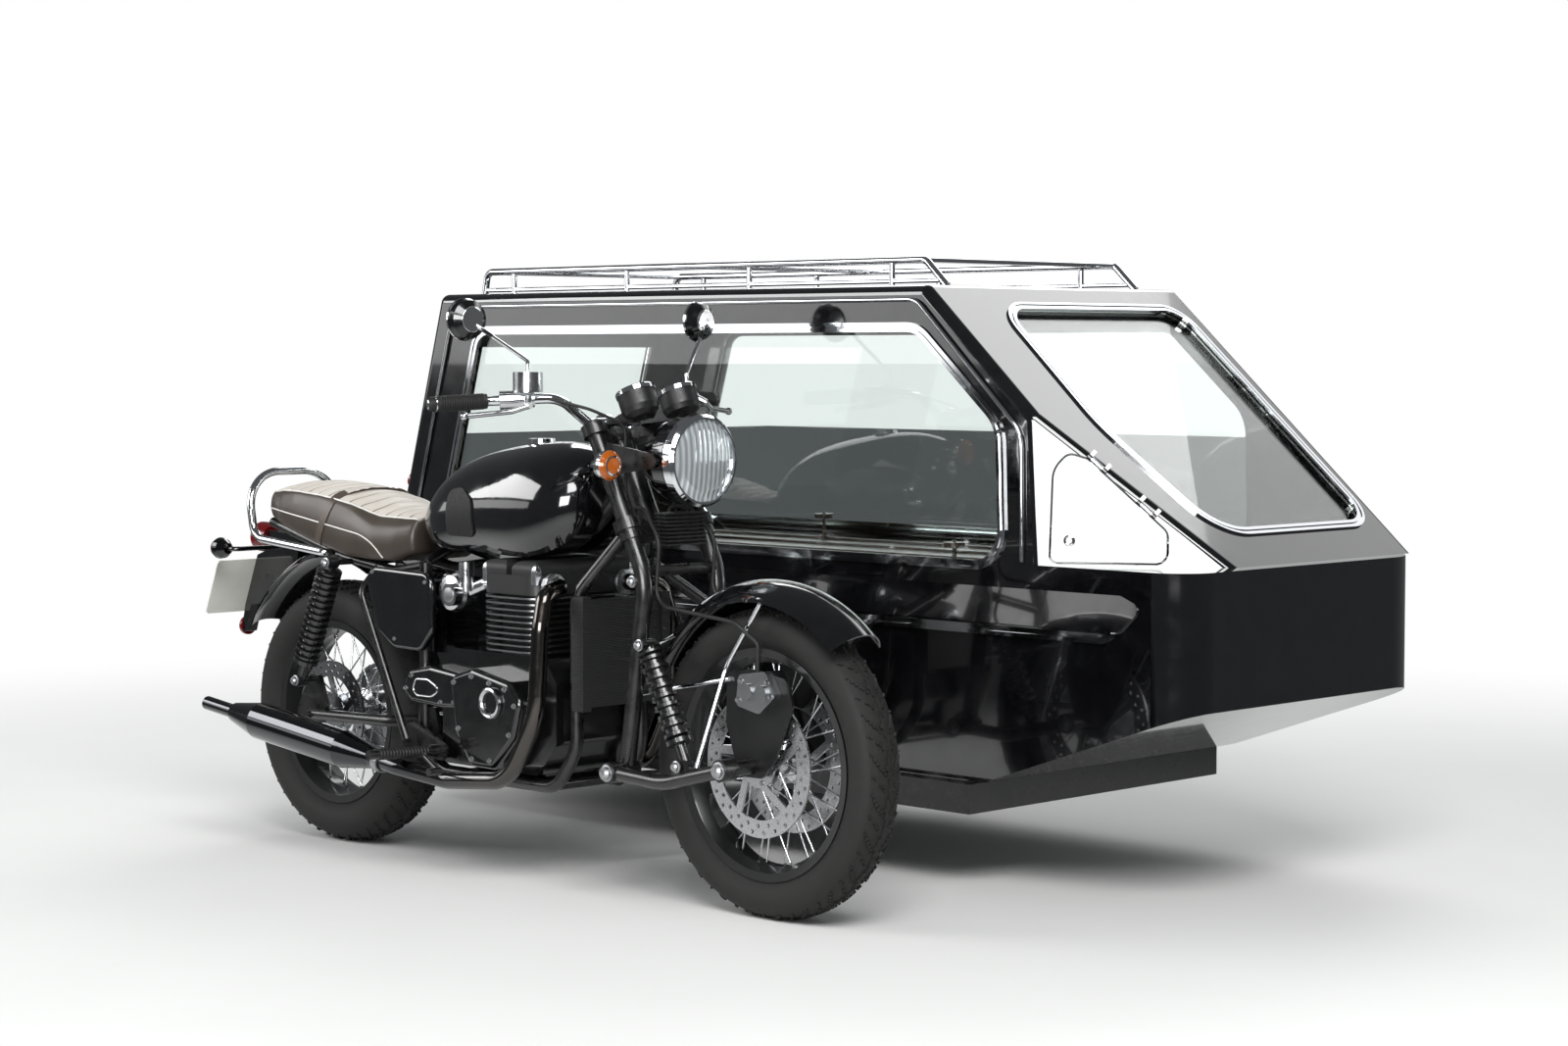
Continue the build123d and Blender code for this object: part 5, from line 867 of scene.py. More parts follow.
def arc_points(start, middle, end, count):
    """Points along the circle's arc through three places in a plane."""
    (ax, ay), (bx, by), (cx, cy) = start, middle, end
    d = 2 * (ax * (by - cy) + bx * (cy - ay) + cx * (ay - by))
    sa, sb, sc = ax * ax + ay * ay, bx * bx + by * by, cx * cx + cy * cy
    ux = (sa * (by - cy) + sb * (cy - ay) + sc * (ay - by)) / d
    uy = (sa * (cx - bx) + sb * (ax - cx) + sc * (bx - ax)) / d
    radius = hypot(ax - ux, ay - uy)
    first = atan2(ay - uy, ax - ux)
    through = (atan2(by - uy, bx - ux) - first) % (2 * pi)
    sweep = (atan2(cy - uy, cx - ux) - first) % (2 * pi)
    if through > sweep:
        sweep -= 2 * pi
    points = []
    for index in range(count + 1):
        angle = first + sweep * index / count
        points.append((ux + radius * cos(angle), uy + radius * sin(angle)))
    return points


def tyre(node, body, centre, radius, width, bead, steps):
    """A road tyre: the frame's section, spun round, with a raised waved rib and slanted lugs."""
    half_bead = width * HALF_BEAD_SHARE
    shoulder = radius - width * SHOULDER_SHARE
    half_tread = width * HALF_TREAD_SHARE
    bead_top = bead + BEAD_HEIGHT
    bulge = (bead_top + shoulder) / 2
    near = arc_points((bead_top, -half_bead), (bulge, -width / 2), (shoulder, -half_tread), 7)
    crown = arc_points((shoulder, -half_tread), (radius, 0), (shoulder, half_tread), TREAD_STRIPS)
    far = arc_points((shoulder, half_tread), (bulge, width / 2), (bead_top, half_bead), 7)
    profile = near + crown[1:] + far[1:] + [(bead, half_bead), (bead, -half_bead)]
    mesh = bmesh.new()
    lathe(mesh, profile, (0, 0, 0), (0, 0, 1), steps)
    mesh.normal_update()
    raised = []
    for face in mesh.faces:
        middle = face.calc_center_median()
        if hypot(middle.x, middle.y) < (shoulder + 1) * MM:
            continue
        strip = (middle.z / MM + half_tread) / (2 * half_tread) * TREAD_STRIPS
        step = atan2(middle.y, middle.x) / (2 * pi) * steps
        from_middle = strip - TREAD_STRIPS / 2
        off = abs(from_middle)
        wave = WAVE_HEIGHT * sin(2 * pi * step / LUG_PITCH / 2)
        on_lug = (step + LUG_SLANT * off + wave) % LUG_PITCH < LUG_WIDTH
        in_middle = abs(from_middle - wave * WAVE_IN_RIB) < MIDDLE_RIB_HALF
        if (on_lug and LUG_FROM < off < LUG_TO) or in_middle:
            raised.append(face)
    # The spun section's normals point inward here, so a depth below nothing raises the pattern
    bmesh.ops.inset_region(
        mesh,
        faces=raised,
        thickness=PATTERN_EDGE * MM,
        depth=-PATTERN_HEIGHT * MM,
        use_even_offset=False,
    )
    turned = Matrix.Translation(spot(*centre)) @ Matrix.Rotation(radians(-90), 4, "X")
    bmesh.ops.transform(mesh, matrix=turned, verts=mesh.verts)
    piece = made(f"{node}_tread", mesh, tyre_rubber, body)
    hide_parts(node)


for row in TYRES:
    tyre(*row)

# Seat

SEAT_STATIONS = [
    # ahead of the rear axle, half width at the top's edge, at the base, heights of crown, edge, base
    (-222, 64, 68, 856, 846, 816),
    (-206, 84, 86, 872, 858, 806),
    (-185, 98, 102, 879, 866, 797),
    (-120, 116, 124, 886, 872, 782),
    (-60, 122, 130, 888, 872, 766),
    (40, 122, 132, 881, 865, 742),
    (150, 116, 130, 862, 848, 718),
    (250, 104, 126, 834, 822, 713),
    (320, 94, 112, 831, 819, 712),
    (376, 84, 94, 829, 817, 732),
]
SEAT_VOXEL = 5.0
SEAT_PRESSURE = 4.0
SEAT_CAP = 7.0
CLOTH_FRAMES = 20
SMOOTHINGS = 9
# Upward parts of the normal: below the first the cover is held on its base, above the second it is top
SIDES_FACE_BELOW = 0.45
TOP_FACES_ABOVE = 0.3
PANEL_FADE = 8
CHANNELS = 14
CHANNEL_DEPTH = 4.6
CHANNEL_WIDTH = 6.0
PIPING_RADIUS = 2.4
SEAM_SHARE = 0.7
STRAP_WIDTH = 22.0
STRAP_THICKNESS = 2.4
STRAP_ROUTE = [
    # ahead of the rear axle, left of the middle, height; mirrored to the other side
    (39, 142, 736),
    (52, 143, 762),
    (66, 142, 790),
    (79, 138, 818),
    (90, 124, 850),
    (97, 90, 874),
    (100, 45, 880),
    (101, 0, 882),
]
SIDE_SEAM = [
    # ahead of the rear axle, left of the middle, height
    (-218, 80, 828),
    (-190, 102, 824),
    (-121, 118, 820),
    (-50, 126, 811),
    (18, 130, 802),
    (120, 134, 787),
    (210, 134, 774),
    (252, 132, 758),
    (276, 130, 736),
    (286, 128, 716),
]


def seat_ring(mesh, station):
    """The seat's section at one station, as a ring of places from its base over its top."""
    ahead, top, base, crown, edge, low = station
    outline = [(-base + 2 * base * step / 8, low) for step in range(9)]
    side = arc_points((base, low), (max(top, base) + 7, (low + edge) / 2 + 6), (top, edge), 8)
    over = arc_points((top, edge), (0, crown), (-top, edge), 16)
    back = [(-across, up) for across, up in reversed(side)]
    outline += side[1:] + over[1:] + back[1:-1]
    return [mesh.verts.new(spot(ahead, across, up)) for across, up in outline]


def seat_form():
    mesh = bmesh.new()
    rings = [seat_ring(mesh, station) for station in SEAT_STATIONS]
    skinned(mesh, rings)
    bmesh.ops.recalc_face_normals(mesh, faces=mesh.faces)
    return mesh


def worked_out(piece):
    """The piece's mesh with its modifiers applied."""
    graph = bpy.context.evaluated_depsgraph_get()
    return bpy.data.meshes.new_from_object(piece.evaluated_get(graph))


def edge_half_width(ahead):
    """Half the width of the seat's top, this far ahead of the rear axle."""
    for first, second in zip(SEAT_STATIONS, SEAT_STATIONS[1:]):
        if first[0] <= ahead <= second[0]:
            share = (ahead - first[0]) / (second[0] - first[0])
            return first[1] + share * (second[1] - first[1])
    return SEAT_STATIONS[0][1] if ahead < SEAT_STATIONS[0][0] else SEAT_STATIONS[-1][1]


def blown(data):
    """The seat's cover filled out by cloth under pressure, each point let out no further than a cap."""
    piece = bpy.data.objects.new("seat_cloth", data)
    bpy.context.scene.collection.objects.link(piece)
    remesh = piece.modifiers.new("remesh", "REMESH")
    remesh.mode = "VOXEL"
    remesh.voxel_size = SEAT_VOXEL * MM
    even = worked_out(piece)
    piece.modifiers.clear()
    piece.data = even
    held = piece.vertex_groups.new(name="held")
    sides = [vert.index for vert in even.vertices if vert.normal.z < SIDES_FACE_BELOW]
    held.add(sides, 1.0, "REPLACE")
    start = [vert.co.copy() for vert in even.vertices]
    cloth = piece.modifiers.new("cloth", "CLOTH")
    cloth.settings.vertex_group_mass = "held"
    cloth.settings.use_pressure = True
    cloth.settings.uniform_pressure_force = SEAT_PRESSURE
    cloth.settings.effector_weights.gravity = 0.0
    cloth.collision_settings.use_collision = False
    for number in range(1, CLOTH_FRAMES + 1):
        bpy.context.scene.frame_set(number)
    full = worked_out(piece)
    bpy.context.scene.frame_set(1)
    for vert, place_before in zip(full.vertices, start):
        moved = vert.co - place_before
        if moved.length > SEAT_CAP * MM:
            vert.co = place_before + moved.normalized() * SEAT_CAP * MM
    bpy.data.objects.remove(piece)
    return full


def make_seat():
    mesh = seat_form()
    data = bpy.data.meshes.new("seat_form")
    mesh.to_mesh(data)
    mesh.free()
    full = blown(data)
    mesh = bmesh.new()
    mesh.from_mesh(full)
    for _ in range(SMOOTHINGS):
        bmesh.ops.smooth_vert(
            mesh, verts=mesh.verts, factor=0.5, use_axis_x=True, use_axis_y=True, use_axis_z=True
        )
    bmesh.ops.subdivide_edges(mesh, edges=mesh.edges, cuts=1, use_grid_fill=True, smooth=0.6)
    mesh.normal_update()
    panel = mesh.verts.layers.float.new("lit_top_panel")
    moves = []
    for vert in mesh.verts:
        ahead = vert.co.x / MM - REAR_AXLE_X
        across = abs(vert.co.y / MM - BIKE_Y)
        inside = edge_half_width(ahead) - across
        on_top = min(max(inside / PANEL_FADE, 0.0), 1.0) if vert.normal.z > TOP_FACES_ABOVE else 0.0
        # The top panel's mask places the channels and also picks the seat's painted light on top and
        # painted shade on the sides
        vert[panel] = on_top
        along = (ahead - FIRST_CHANNEL) / CHANNEL_PITCH
        off = abs(along - round(along)) * CHANNEL_PITCH
        if on_top and 0 <= round(along) < CHANNELS:
            moves.append((vert, -on_top * CHANNEL_DEPTH * exp(-((off / CHANNEL_WIDTH) ** 2))))
    shifts = [(vert, vert.normal * depth * MM) for vert, depth in moves]
    for vert, shift in shifts:
        vert.co += shift
    mesh.normal_update()
    skin = BVHTree.FromBMesh(mesh)
    cover = made("seat_cover", mesh, seat_vinyl, "outfit")
    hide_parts("seat")
    return skin


def laid(skin, route, lift):
    """A route laid on a surface: each place with the surface's way out, lifted off by an amount."""
    points = []
    for place_near in route:
        where, out, _, _ = skin.find_nearest(place_near)
        points.append((where + out * lift * MM, out))
    return points


def tube(mesh, points, radius, sides=8, closed=False):
    """A round cord through places, swept without twist."""
    count = len(points)
    rings = []
    side = None
    for index, point in enumerate(points):
        before = points[index - 1] if index or closed else point
        after = points[(index + 1) % count] if index < count - 1 or closed else point
        way = (after - before).normalized()
        if side is None:
            side = way.orthogonal().normalized()
        side = (side - way * side.dot(way)).normalized()
        other = way.cross(side)
        ring = []
        for number in range(sides):
            angle = 2 * pi * number / sides
            ring.append(mesh.verts.new(point + (side * cos(angle) + other * sin(angle)) * radius * MM))
        rings.append(ring)
    skinned(mesh, rings, closed)


def smoothed(points, rounds):
    for _ in range(rounds):
        middle = [(a + b * 2 + c) / 4 for a, b, c in zip(points, points[1:], points[2:])]
        points = [points[0], *middle, points[-1]]
    return points


def divided(points, step):
    """More places along a route, about a step of millimetres apart."""
    route = [points[0]]
    for start, end in zip(points, points[1:]):
        count = max(1, round((end - start).length / MM / step))
        route += [start.lerp(end, (number + 1) / count) for number in range(count)]
    return route


def make_seat_trim(skin):
    mesh = bmesh.new()
    right = [spot(row[0], -row[1], row[4]) for row in SEAT_STATIONS]
    left = [spot(row[0], row[1], row[4]) for row in SEAT_STATIONS]
    rear = [spot(-232, -30, 850), spot(-234, 0, 851), spot(-232, 30, 850)]
    loop = smoothed(divided(list(reversed(right)) + rear + left, 8), 6)
    edge = smoothed([place_now for place_now, _ in laid(skin, loop, 0.8)], 3)
    tube(mesh, edge, PIPING_RADIUS)
    for side in (-1, 1):
        line = [spot(ahead, side * across, up) for ahead, across, up in SIDE_SEAM]
        line = smoothed(divided(line, 8), 3)
        line = smoothed([place_now for place_now, _ in laid(skin, line, 0.4)], 2)
        tube(mesh, line, PIPING_RADIUS * SEAM_SHARE)
    made("seat_piping", mesh, piping_vinyl, "outfit")
    mesh = bmesh.new()
    route = [spot(ahead, -across, up) for ahead, across, up in STRAP_ROUTE]
    route += [spot(ahead, across, up) for ahead, across, up in reversed(STRAP_ROUTE[:-1])]
    path = laid(skin, smoothed(divided(route, 9), 2), 0.0)
    rows = []
    for index, (point, out) in enumerate(path):
        before = path[max(index - 1, 0)][0]
        after = path[min(index + 1, len(path) - 1)][0]
        way = (after - before).normalized()
        across = way.cross(out).normalized() * STRAP_WIDTH / 2 * MM
        lift = out * STRAP_THICKNESS * MM
        foot = point + out * 0.4 * MM
        corners = (foot - across, foot + across, foot + across + lift, foot - across + lift)
        rows.append([mesh.verts.new(corner) for corner in corners])
    skinned(mesh, rows)
    made("seat_strap", mesh, seat_strap_vinyl, "outfit")


make_seat_trim(make_seat())

# Turned details: rings, caps, collars and ribbed sleeves

DIAL_UP = (-sin(radians(25)), 0, cos(radians(25)))


def ribs(start, end, pitch, low, high):
    """A ribbed sleeve's profile between two distances along it."""
    count = round((end - start) / pitch)
    profile = [(low - 1.2, start)]
    for number in range(count):
        at_rib = start + pitch * number
        profile += [(low, at_rib), (high, at_rib + pitch * 0.25), (high, at_rib + pitch * 0.7)]
    return profile + [(low, end), (low - 1.2, end)]


# Profiles, as (radius, distance along the axis)
BEZEL = [(43.2, -9), (45.2, -9), (45.2, 0), (43.4, 2), (38.4, 0.8), (38.4, -1), (43.2, -1)]
FACE = [(0.01, 0), (37.6, 0), (37.6, 0.7), (0.01, 0.7)]
MIRROR_RING = [(41.5, 13), (47.2, 9.5), (47.2, 15.5), (41.5, 16)]
MIRROR_FACE = [(0.01, 14.1), (41.6, 14.1), (41.6, 14.7), (0.01, 14.7)]
CAP_NUT = [(0.01, 0), (13, 0), (13, 3), (10, 4), (10, 9), (6, 13), (0.01, 14)]
LARGE_CAP_NUT = [(0.01, 0), (19, 0), (19, 3), (15, 4), (15, 10), (9, 15), (0.01, 16)]
PORT_COLLAR = [(20.4, 2), (29, 2), (29, 8), (26, 10), (29, 12), (29, 18), (20.4, 20)]
CLUTCH_RING = [(25, 6), (34.5, 9), (34.5, 11), (31, 12.6), (27.5, 11), (25, 8)]
LENS_RING = [(18, 19.6), (22, 18.6), (22.5, 19.8), (18.5, 21)]
BAR_CAP = [(0.01, 21), (10, 21), (14, 18), (15.4, 12), (15.4, 4), (17.2, 3), (17.2, 1), (0.01, 0.5)]
LOCK_RING = [(7, 8), (10.6, 8), (11.6, 3), (12.6, 3), (12.2, 10.5), (9, 12), (7, 11)]
FILLER_CAP = [
    (0.01, 27.4),
    (20, 27.4),
    (31, 26),
    (31.2, 14),
    (33, 12),
    (33, 3),
    (30.2, 3),
    (30.2, 27),
    (0.01, 27.1),
]
THROTTLE_DISC = [(0.01, 22.2), (17, 22.2), (17, 24), (11, 25.5), (0.01, 25.5)]
SILENCER_COLLAR = [(22.4, 2), (26, 2), (26, 22), (22.6, 22)]
GRIP_RIBS = ribs(5, 106, 5.6, 16.8, 18.0)
PEG_RIBS = ribs(26, 170, 9, 11.4, 13.2)
BEZEL_ON_DIAL = [(radius, along + 64) for radius, along in BEZEL]
FACE_ON_DIAL = [(radius, along + 60.1) for radius, along in FACE]
MIRROR_WAY = (-1, -0.12, 0.02)
PEG_WAY = (0, 0.999182, 0.040432)
OUTWARD = (0, 1, 0)
FORWARD = (1, 0, 0)
TURNINGS = [
    # name, body, finish, profile, place, axis; each is mirrored to the other side too
    ("grip_ribs", "fork", "rubber", GRIP_RIBS, (860, 414, 1098), (52, -114, 6)),
    ("bar_end_caps", "fork", "chrome", BAR_CAP, (860, 414, 1098), (-52, 114, -6)),
    ("dial_bezels", "fork", "chrome", BEZEL_ON_DIAL, (1141, 62, 1068), DIAL_UP),
    ("dial_faces", "fork", "black_plastic", FACE_ON_DIAL, (1141, 62, 1068), DIAL_UP),
    ("mirror_rings", "fork", "chrome", MIRROR_RING, (892, 350, 1282), MIRROR_WAY),
    ("mirror_glass", "fork", "mirror_silver", MIRROR_FACE, (892, 350, 1282), MIRROR_WAY),
    ("pivot_nuts", "fork", "zinc", LARGE_CAP_NUT, (1137, 168.2, 292), OUTWARD),
    ("shock_top_nuts", "fork", "zinc", CAP_NUT, (1228, 154.2, 578), OUTWARD),
    ("shock_foot_nuts", "fork", "zinc", CAP_NUT, (1351, 160.2, 326), OUTWARD),
    ("front_axle_nuts", "fork", "zinc", LARGE_CAP_NUT, (1490, 168.3, 331.5), OUTWARD),
    ("brace_nuts", "fork", "zinc", CAP_NUT, (1178, 128.8, 712), OUTWARD),
    ("port_collars", "outfit", "zinc", PORT_COLLAR, (883, 110, 684), FORWARD),
    ("lens_rings", "fork", "chrome", LENS_RING, (1144, 170, 965), FORWARD),
    ("rear_shock_nuts", "outfit", "zinc", CAP_NUT, (140, 180.2, 704), OUTWARD),
    ("rear_shock_foot_nuts", "outfit", "zinc", CAP_NUT, (12, 180.2, 410), OUTWARD),
    ("throttle_discs", "outfit", "zinc", THROTTLE_DISC, (596, 150, 652), OUTWARD),
    ("peg_rubbers", "outfit", "rubber", PEG_RIBS, (525, 154.3, 283), PEG_WAY),
    ("silencer_collars", "outfit", "zinc", SILENCER_COLLAR, (452, 250, 258), (-715, 0, 80)),
]
SINGLE_TURNINGS = [
    # name, body, finish, profile, place, axis
    ("clutch_ring", "outfit", "polished", CLUTCH_RING, (772, -190, 418), (0, -1, 0)),
    ("left_cover_ring", "outfit", "polished", CLUTCH_RING, (800, 186, 395), (0, 1, 0)),
    ("filler_cap", "outfit", "chrome", FILLER_CAP, (727, 0, 985), (0, 0, 1)),
]
# The turned pieces' finishes by the names in the tables
TURNED_FINISHES = {
    "rubber": rubber,
    "chrome": chrome,
    "black_plastic": black_plastic,
    "zinc": zinc,
    "polished": polished,
    "mirror_silver": mirror_silver,
}


GEAR_COVER_FACE_Y = -170.4
RIM_RADIUS = 2.4
GEAR_COVER_RIM = [
    # ahead of the rear axle, height
    (470, 448),
    (516, 450),
    (548, 436),
    (552, 424),
    (528, 410),
    (474, 410),
    (458, 424),
]


def make_gear_cover_rim():
    """A raised rim round a blank field on the gear cover."""
    mesh = bmesh.new()
    points = [spot(x, GEAR_COVER_FACE_Y, z) for x, z in GEAR_COVER_RIM]
    loop = divided(points + [points[0]], 4)[:-1]
    count = len(loop)
    for _ in range(3):
        loop = [(loop[i - 1] + loop[i] * 2 + loop[(i + 1) % count]) / 4 for i in range(count)]
    tube(mesh, loop, RIM_RADIUS, closed=True)
    made("gear_cover_rim", mesh, polished, "outfit")


make_gear_cover_rim()


def make_turnings():
    for name, body, surface, profile, centre, axis in TURNINGS:
        mesh = bmesh.new()
        for side in (-1, 1):
            place_now = spot(centre[0], side * centre[1], centre[2])
            lathe(mesh, profile, place_now, (axis[0], side * axis[1], axis[2]), 32)
        made(name, mesh, TURNED_FINISHES[surface], body)
    for name, body, surface, profile, centre, axis in SINGLE_TURNINGS:
        mesh = bmesh.new()
        lathe(mesh, profile, spot(*centre), axis, 40)
        made(name, mesh, TURNED_FINISHES[surface], body)


make_turnings()

# Screw and bolt heads, as shares of the size across the flats

WASHER_THICKNESS = 1.6
WASHER_SHARE = 0.72
HEAD_FOOT_SHARE = 0.577
HEAD_TOP_SHARE = 0.5


def hex_heads(mesh, places, axis, across, height):
    """Bolt heads: a hexagon on a washer at each place, standing along an axis."""
    for point in places:
        before = set(mesh.verts)
        bmesh.ops.create_cone(
            mesh,
            cap_ends=True,
            segments=16,
            radius1=across * WASHER_SHARE * MM,
            radius2=across * WASHER_SHARE * MM,
            depth=WASHER_THICKNESS * MM,
            matrix=Matrix.Translation((0, 0, WASHER_THICKNESS / 2 * MM)),
        )
        bmesh.ops.create_cone(
            mesh,
            cap_ends=True,
            segments=6,
            radius1=across * HEAD_FOOT_SHARE * MM,
            radius2=across * HEAD_TOP_SHARE * MM,
            depth=height * MM,
            matrix=Matrix.Translation((0, 0, (WASHER_THICKNESS + height / 2) * MM)),
        )
        added = [vert for vert in mesh.verts if vert not in before]
        bmesh.ops.transform(mesh, matrix=Matrix.Translation(point) @ turn_to(axis), verts=added)


# Corner hatch: chromed hinge leaves with their screws, and the lock's ring

HATCH_FOOT = Vector((1734, 570, 740))
HATCH_ALONG = Vector((360, 233, 0)).normalized()
HATCH_OUT = Vector((0.5428, -0.8391, 0.0351)).normalized()
HATCH_UP = HATCH_OUT.cross(HATCH_ALONG)
# The hatch's hinged edge on the panel, as (along, up): its way and a place on it
HINGE_EDGE = Vector((-177, 160, 0)).normalized()
EDGE_PLACE = (290, 76)
HINGE_ALONG = (130.0, 239.0)
HINGE_BARREL = [(6.6, -16.5), (6.6, 16.5), (5.6, 16.9), (5.6, -16.9)]
BARREL_OFF_EDGE = 5.5
BARREL_OUT = 7.0
SCREW_ACROSS = (-6, 6)
SCREW_IN = 22
LEAF_OUTLINE = [(-13, 5), (13, 5), (9, 36), (-9, 36)]
LEAF_BACK = 5.2
LEAF_FACE = 6.6
LOCK = (74.0, 56.0)


def hatch_spot(along, up, out):
    """A place on the corner panel: along its foot, up it and out from it."""
    point = HATCH_FOOT + HATCH_ALONG * along + HATCH_UP * up + HATCH_OUT * out
    return spot(*point)


def make_hatch_fittings():
    mesh = bmesh.new()
    inward = Vector((-HINGE_EDGE.y, HINGE_EDGE.x, 0))
    way = HATCH_ALONG * HINGE_EDGE.x + HATCH_UP * HINGE_EDGE.y
    screws = []
    for along in HINGE_ALONG:
        height = EDGE_PLACE[1] + (along - EDGE_PLACE[0]) * HINGE_EDGE.y / HINGE_EDGE.x
        line = Vector((along, height, 0)) - inward * BARREL_OFF_EDGE
        lathe(mesh, HINGE_BARREL, hatch_spot(line.x, line.y, BARREL_OUT), way, 20)
        faces = []
        for out in (LEAF_BACK, LEAF_FACE):
            outline = [line + HINGE_EDGE * edge + inward * far for edge, far in LEAF_OUTLINE]
            faces.append([mesh.verts.new(hatch_spot(point.x, point.y, out)) for point in outline])
        skinned(mesh, faces)
        for edge in SCREW_ACROSS:
            point = line + HINGE_EDGE * edge + inward * SCREW_IN
            screws.append(hatch_spot(point.x, point.y, LEAF_FACE))
    lathe(mesh, LOCK_RING, hatch_spot(LOCK[0], LOCK[1], 0), HATCH_OUT, 28)
    made("hatch_fittings", mesh, chrome, "hatch")
    mesh = bmesh.new()
    hex_heads(mesh, screws, HATCH_OUT, 5, 1.2)
    made("hatch_screws", mesh, zinc, "hatch")


make_hatch_fittings()

# Bolts


def round_a_circle(x, z, radius, step):
    """Places (ahead, height) every so many degrees round a middle."""
    turns = [radians(degrees) for degrees in range(0, 360, step)]
    return [(x + radius * cos(turn), z + radius * sin(turn)) for turn in turns]


CLUTCH_COVER_BOLTS = [
    (637, 455),
    (701, 473),
    (764, 462),
    (818, 452),
    (851, 417),
    (833, 350),
    (764, 285),
    (700, 284),
    (653, 350),
]
SPROCKET_COVER_BOLTS = [(512, 404), (596, 430), (640, 410), (640, 298), (600, 280), (516, 298)]
CALIPER_BOLTS = [(1478, 515), (1556, 518), (1470, 474), (1566, 488)]
DISC_BOLTS = round_a_circle(1490, 331.5, 38, 72)
BOLTS = [
    # name, body, way out, size across the flats, height, face's y, places (ahead, height)
    ("clutch_cover_bolts", "outfit", -1, 9, 4, -191.6, CLUTCH_COVER_BOLTS),
    ("gear_cover_bolts", "outfit", -1, 8, 4, -169.6, [(432, 424), (452, 455), (610, 405), (560, 400)]),
    ("left_cover_bolts", "outfit", 1, 9, 4, 185.7, round_a_circle(800, 395, 66, 45)),
    ("sprocket_cover_bolts", "outfit", 1, 8, 4, 143.6, SPROCKET_COVER_BOLTS),
    ("left_disc_bolts", "front_wheel", 1, 8, 3, 53.4, DISC_BOLTS),
    ("right_disc_bolts", "front_wheel", -1, 8, 3, -53.4, DISC_BOLTS),
    ("right_caliper_bolts", "fork", -1, 10, 5, -91.7, CALIPER_BOLTS),
    ("left_caliper_bolts", "fork", 1, 10, 5, 91.7, CALIPER_BOLTS),
    ("side_panel_screws", "outfit", -1, 7, 2, -165.7, [(300, 690), (500, 676), (384, 536)]),
    ("sidecar_wheel_nuts", "sidecar_wheel", 1, 17, 10, 1416, round_a_circle(205, 300, 60, 72)),
]


def make_bolts():
    for name, body, side, across, height, y, places in BOLTS:
        mesh = bmesh.new()
        hex_heads(mesh, [spot(x, y, z) for x, z in places], (0, side, 0), across, height)
        made(name, mesh, zinc, body)


make_bolts()

# Chain: side plates and rollers round both sprockets, in place of the frame's plain band

CHAIN_PITCH = 15.875
CHAIN_MIDDLE_Y = 89.0
ARC_STEPS = 40
OUTER_PLATE = 5.4
INNER_PLATE = 3.4
PLATE_THICKNESS = 1.6
PIN_RADIUS = 4.0
PIN_LENGTH = 14.6
REAR_SPROCKET = (0.0, 321.0, 106.0)
FRONT_SPROCKET = (545.0, 335.0, 44.0)
LINK_UPPER_EDGE = [(-11.5, 0), (-9, 5.4), (-4, 4.2), (4, 4.2), (9, 5.4), (11.5, 0)]
LINK_SHAPE = LINK_UPPER_EDGE + [(along, -up) for along, up in reversed(LINK_UPPER_EDGE[1:-1])]


def chain_line():
    """The chain's middle line, as even steps of places round the two sprockets."""
    (rear_x, rear_z, rear_r), (front_x, front_z, front_r) = REAR_SPROCKET, FRONT_SPROCKET
    apart = hypot(front_x - rear_x, front_z - rear_z)
    tilt = atan2(front_z - rear_z, front_x - rear_x)
    lean = asin((rear_r - front_r) / apart)
    points = []
    rear = (rear_x, rear_z, rear_r, tilt + pi / 2 - lean, tilt + 3 * pi / 2 + lean)
    front = (front_x, front_z, front_r, tilt - pi / 2 + lean, tilt + pi / 2 - lean)
    for x, z, radius, first, last in (rear, front):
        for number in range(ARC_STEPS + 1):
            angle = first + (last - first) * number / ARC_STEPS
            points.append(Vector((x + radius * cos(angle), 0, z + radius * sin(angle))))
    points.append(points[0].copy())
    length = sum((b - a).length for a, b in zip(points, points[1:]))
    count = 2 * round(length / CHAIN_PITCH / 2)
    step = length / count
    even, travelled, target = [], 0.0, 0.0
    for a, b in zip(points, points[1:]):
        span = (b - a).length
        while target < travelled + span - 1e-6 and len(even) < count:
            even.append(a.lerp(b, (target - travelled) / span))
            target += step
        travelled += span
    return even


def make_chain():
    mesh = bmesh.new()
    pins = chain_line()
    for index, pin in enumerate(pins):
        following = pins[(index + 1) % len(pins)]
        middle = (pin + following) / 2
        way = (following - pin).normalized()
        up = Vector((-way.z, 0, way.x))
        reach = OUTER_PLATE if index % 2 else INNER_PLATE
        for side in (-1, 1):
            outer = CHAIN_MIDDLE_Y + side * (reach + PLATE_THICKNESS)
            inner = CHAIN_MIDDLE_Y + side * reach
            outline = [middle + way * along + up * off for along, off in LINK_SHAPE]
            faces = [[mesh.verts.new(spot(p.x, y, p.z)) for p in outline] for y in (inner, outer)]
            skinned(mesh, faces)
        turn = Matrix.Translation(spot(pin.x, CHAIN_MIDDLE_Y, pin.z)) @ turn_to((0, 1, 0))
        bmesh.ops.create_cone(
            mesh,
            cap_ends=True,
            segments=8,
            radius1=PIN_RADIUS * MM,
            radius2=PIN_RADIUS * MM,
            depth=PIN_LENGTH * MM,
            matrix=turn,
        )
    piece = made("chain_links", mesh, zinc, "outfit")
    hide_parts("drive_chain")


make_chain()

# Camera and light

CAMERA_PLACE = (6010.0, -4520.0, 1210.0)
CAMERA_TURN = radians(44.84)
CAMERA_DIP = radians(3.25)
IMAGE_WIDTH = 1600
FOCAL_PIXELS = 3064.0
SENSOR_WIDTH = 36.0


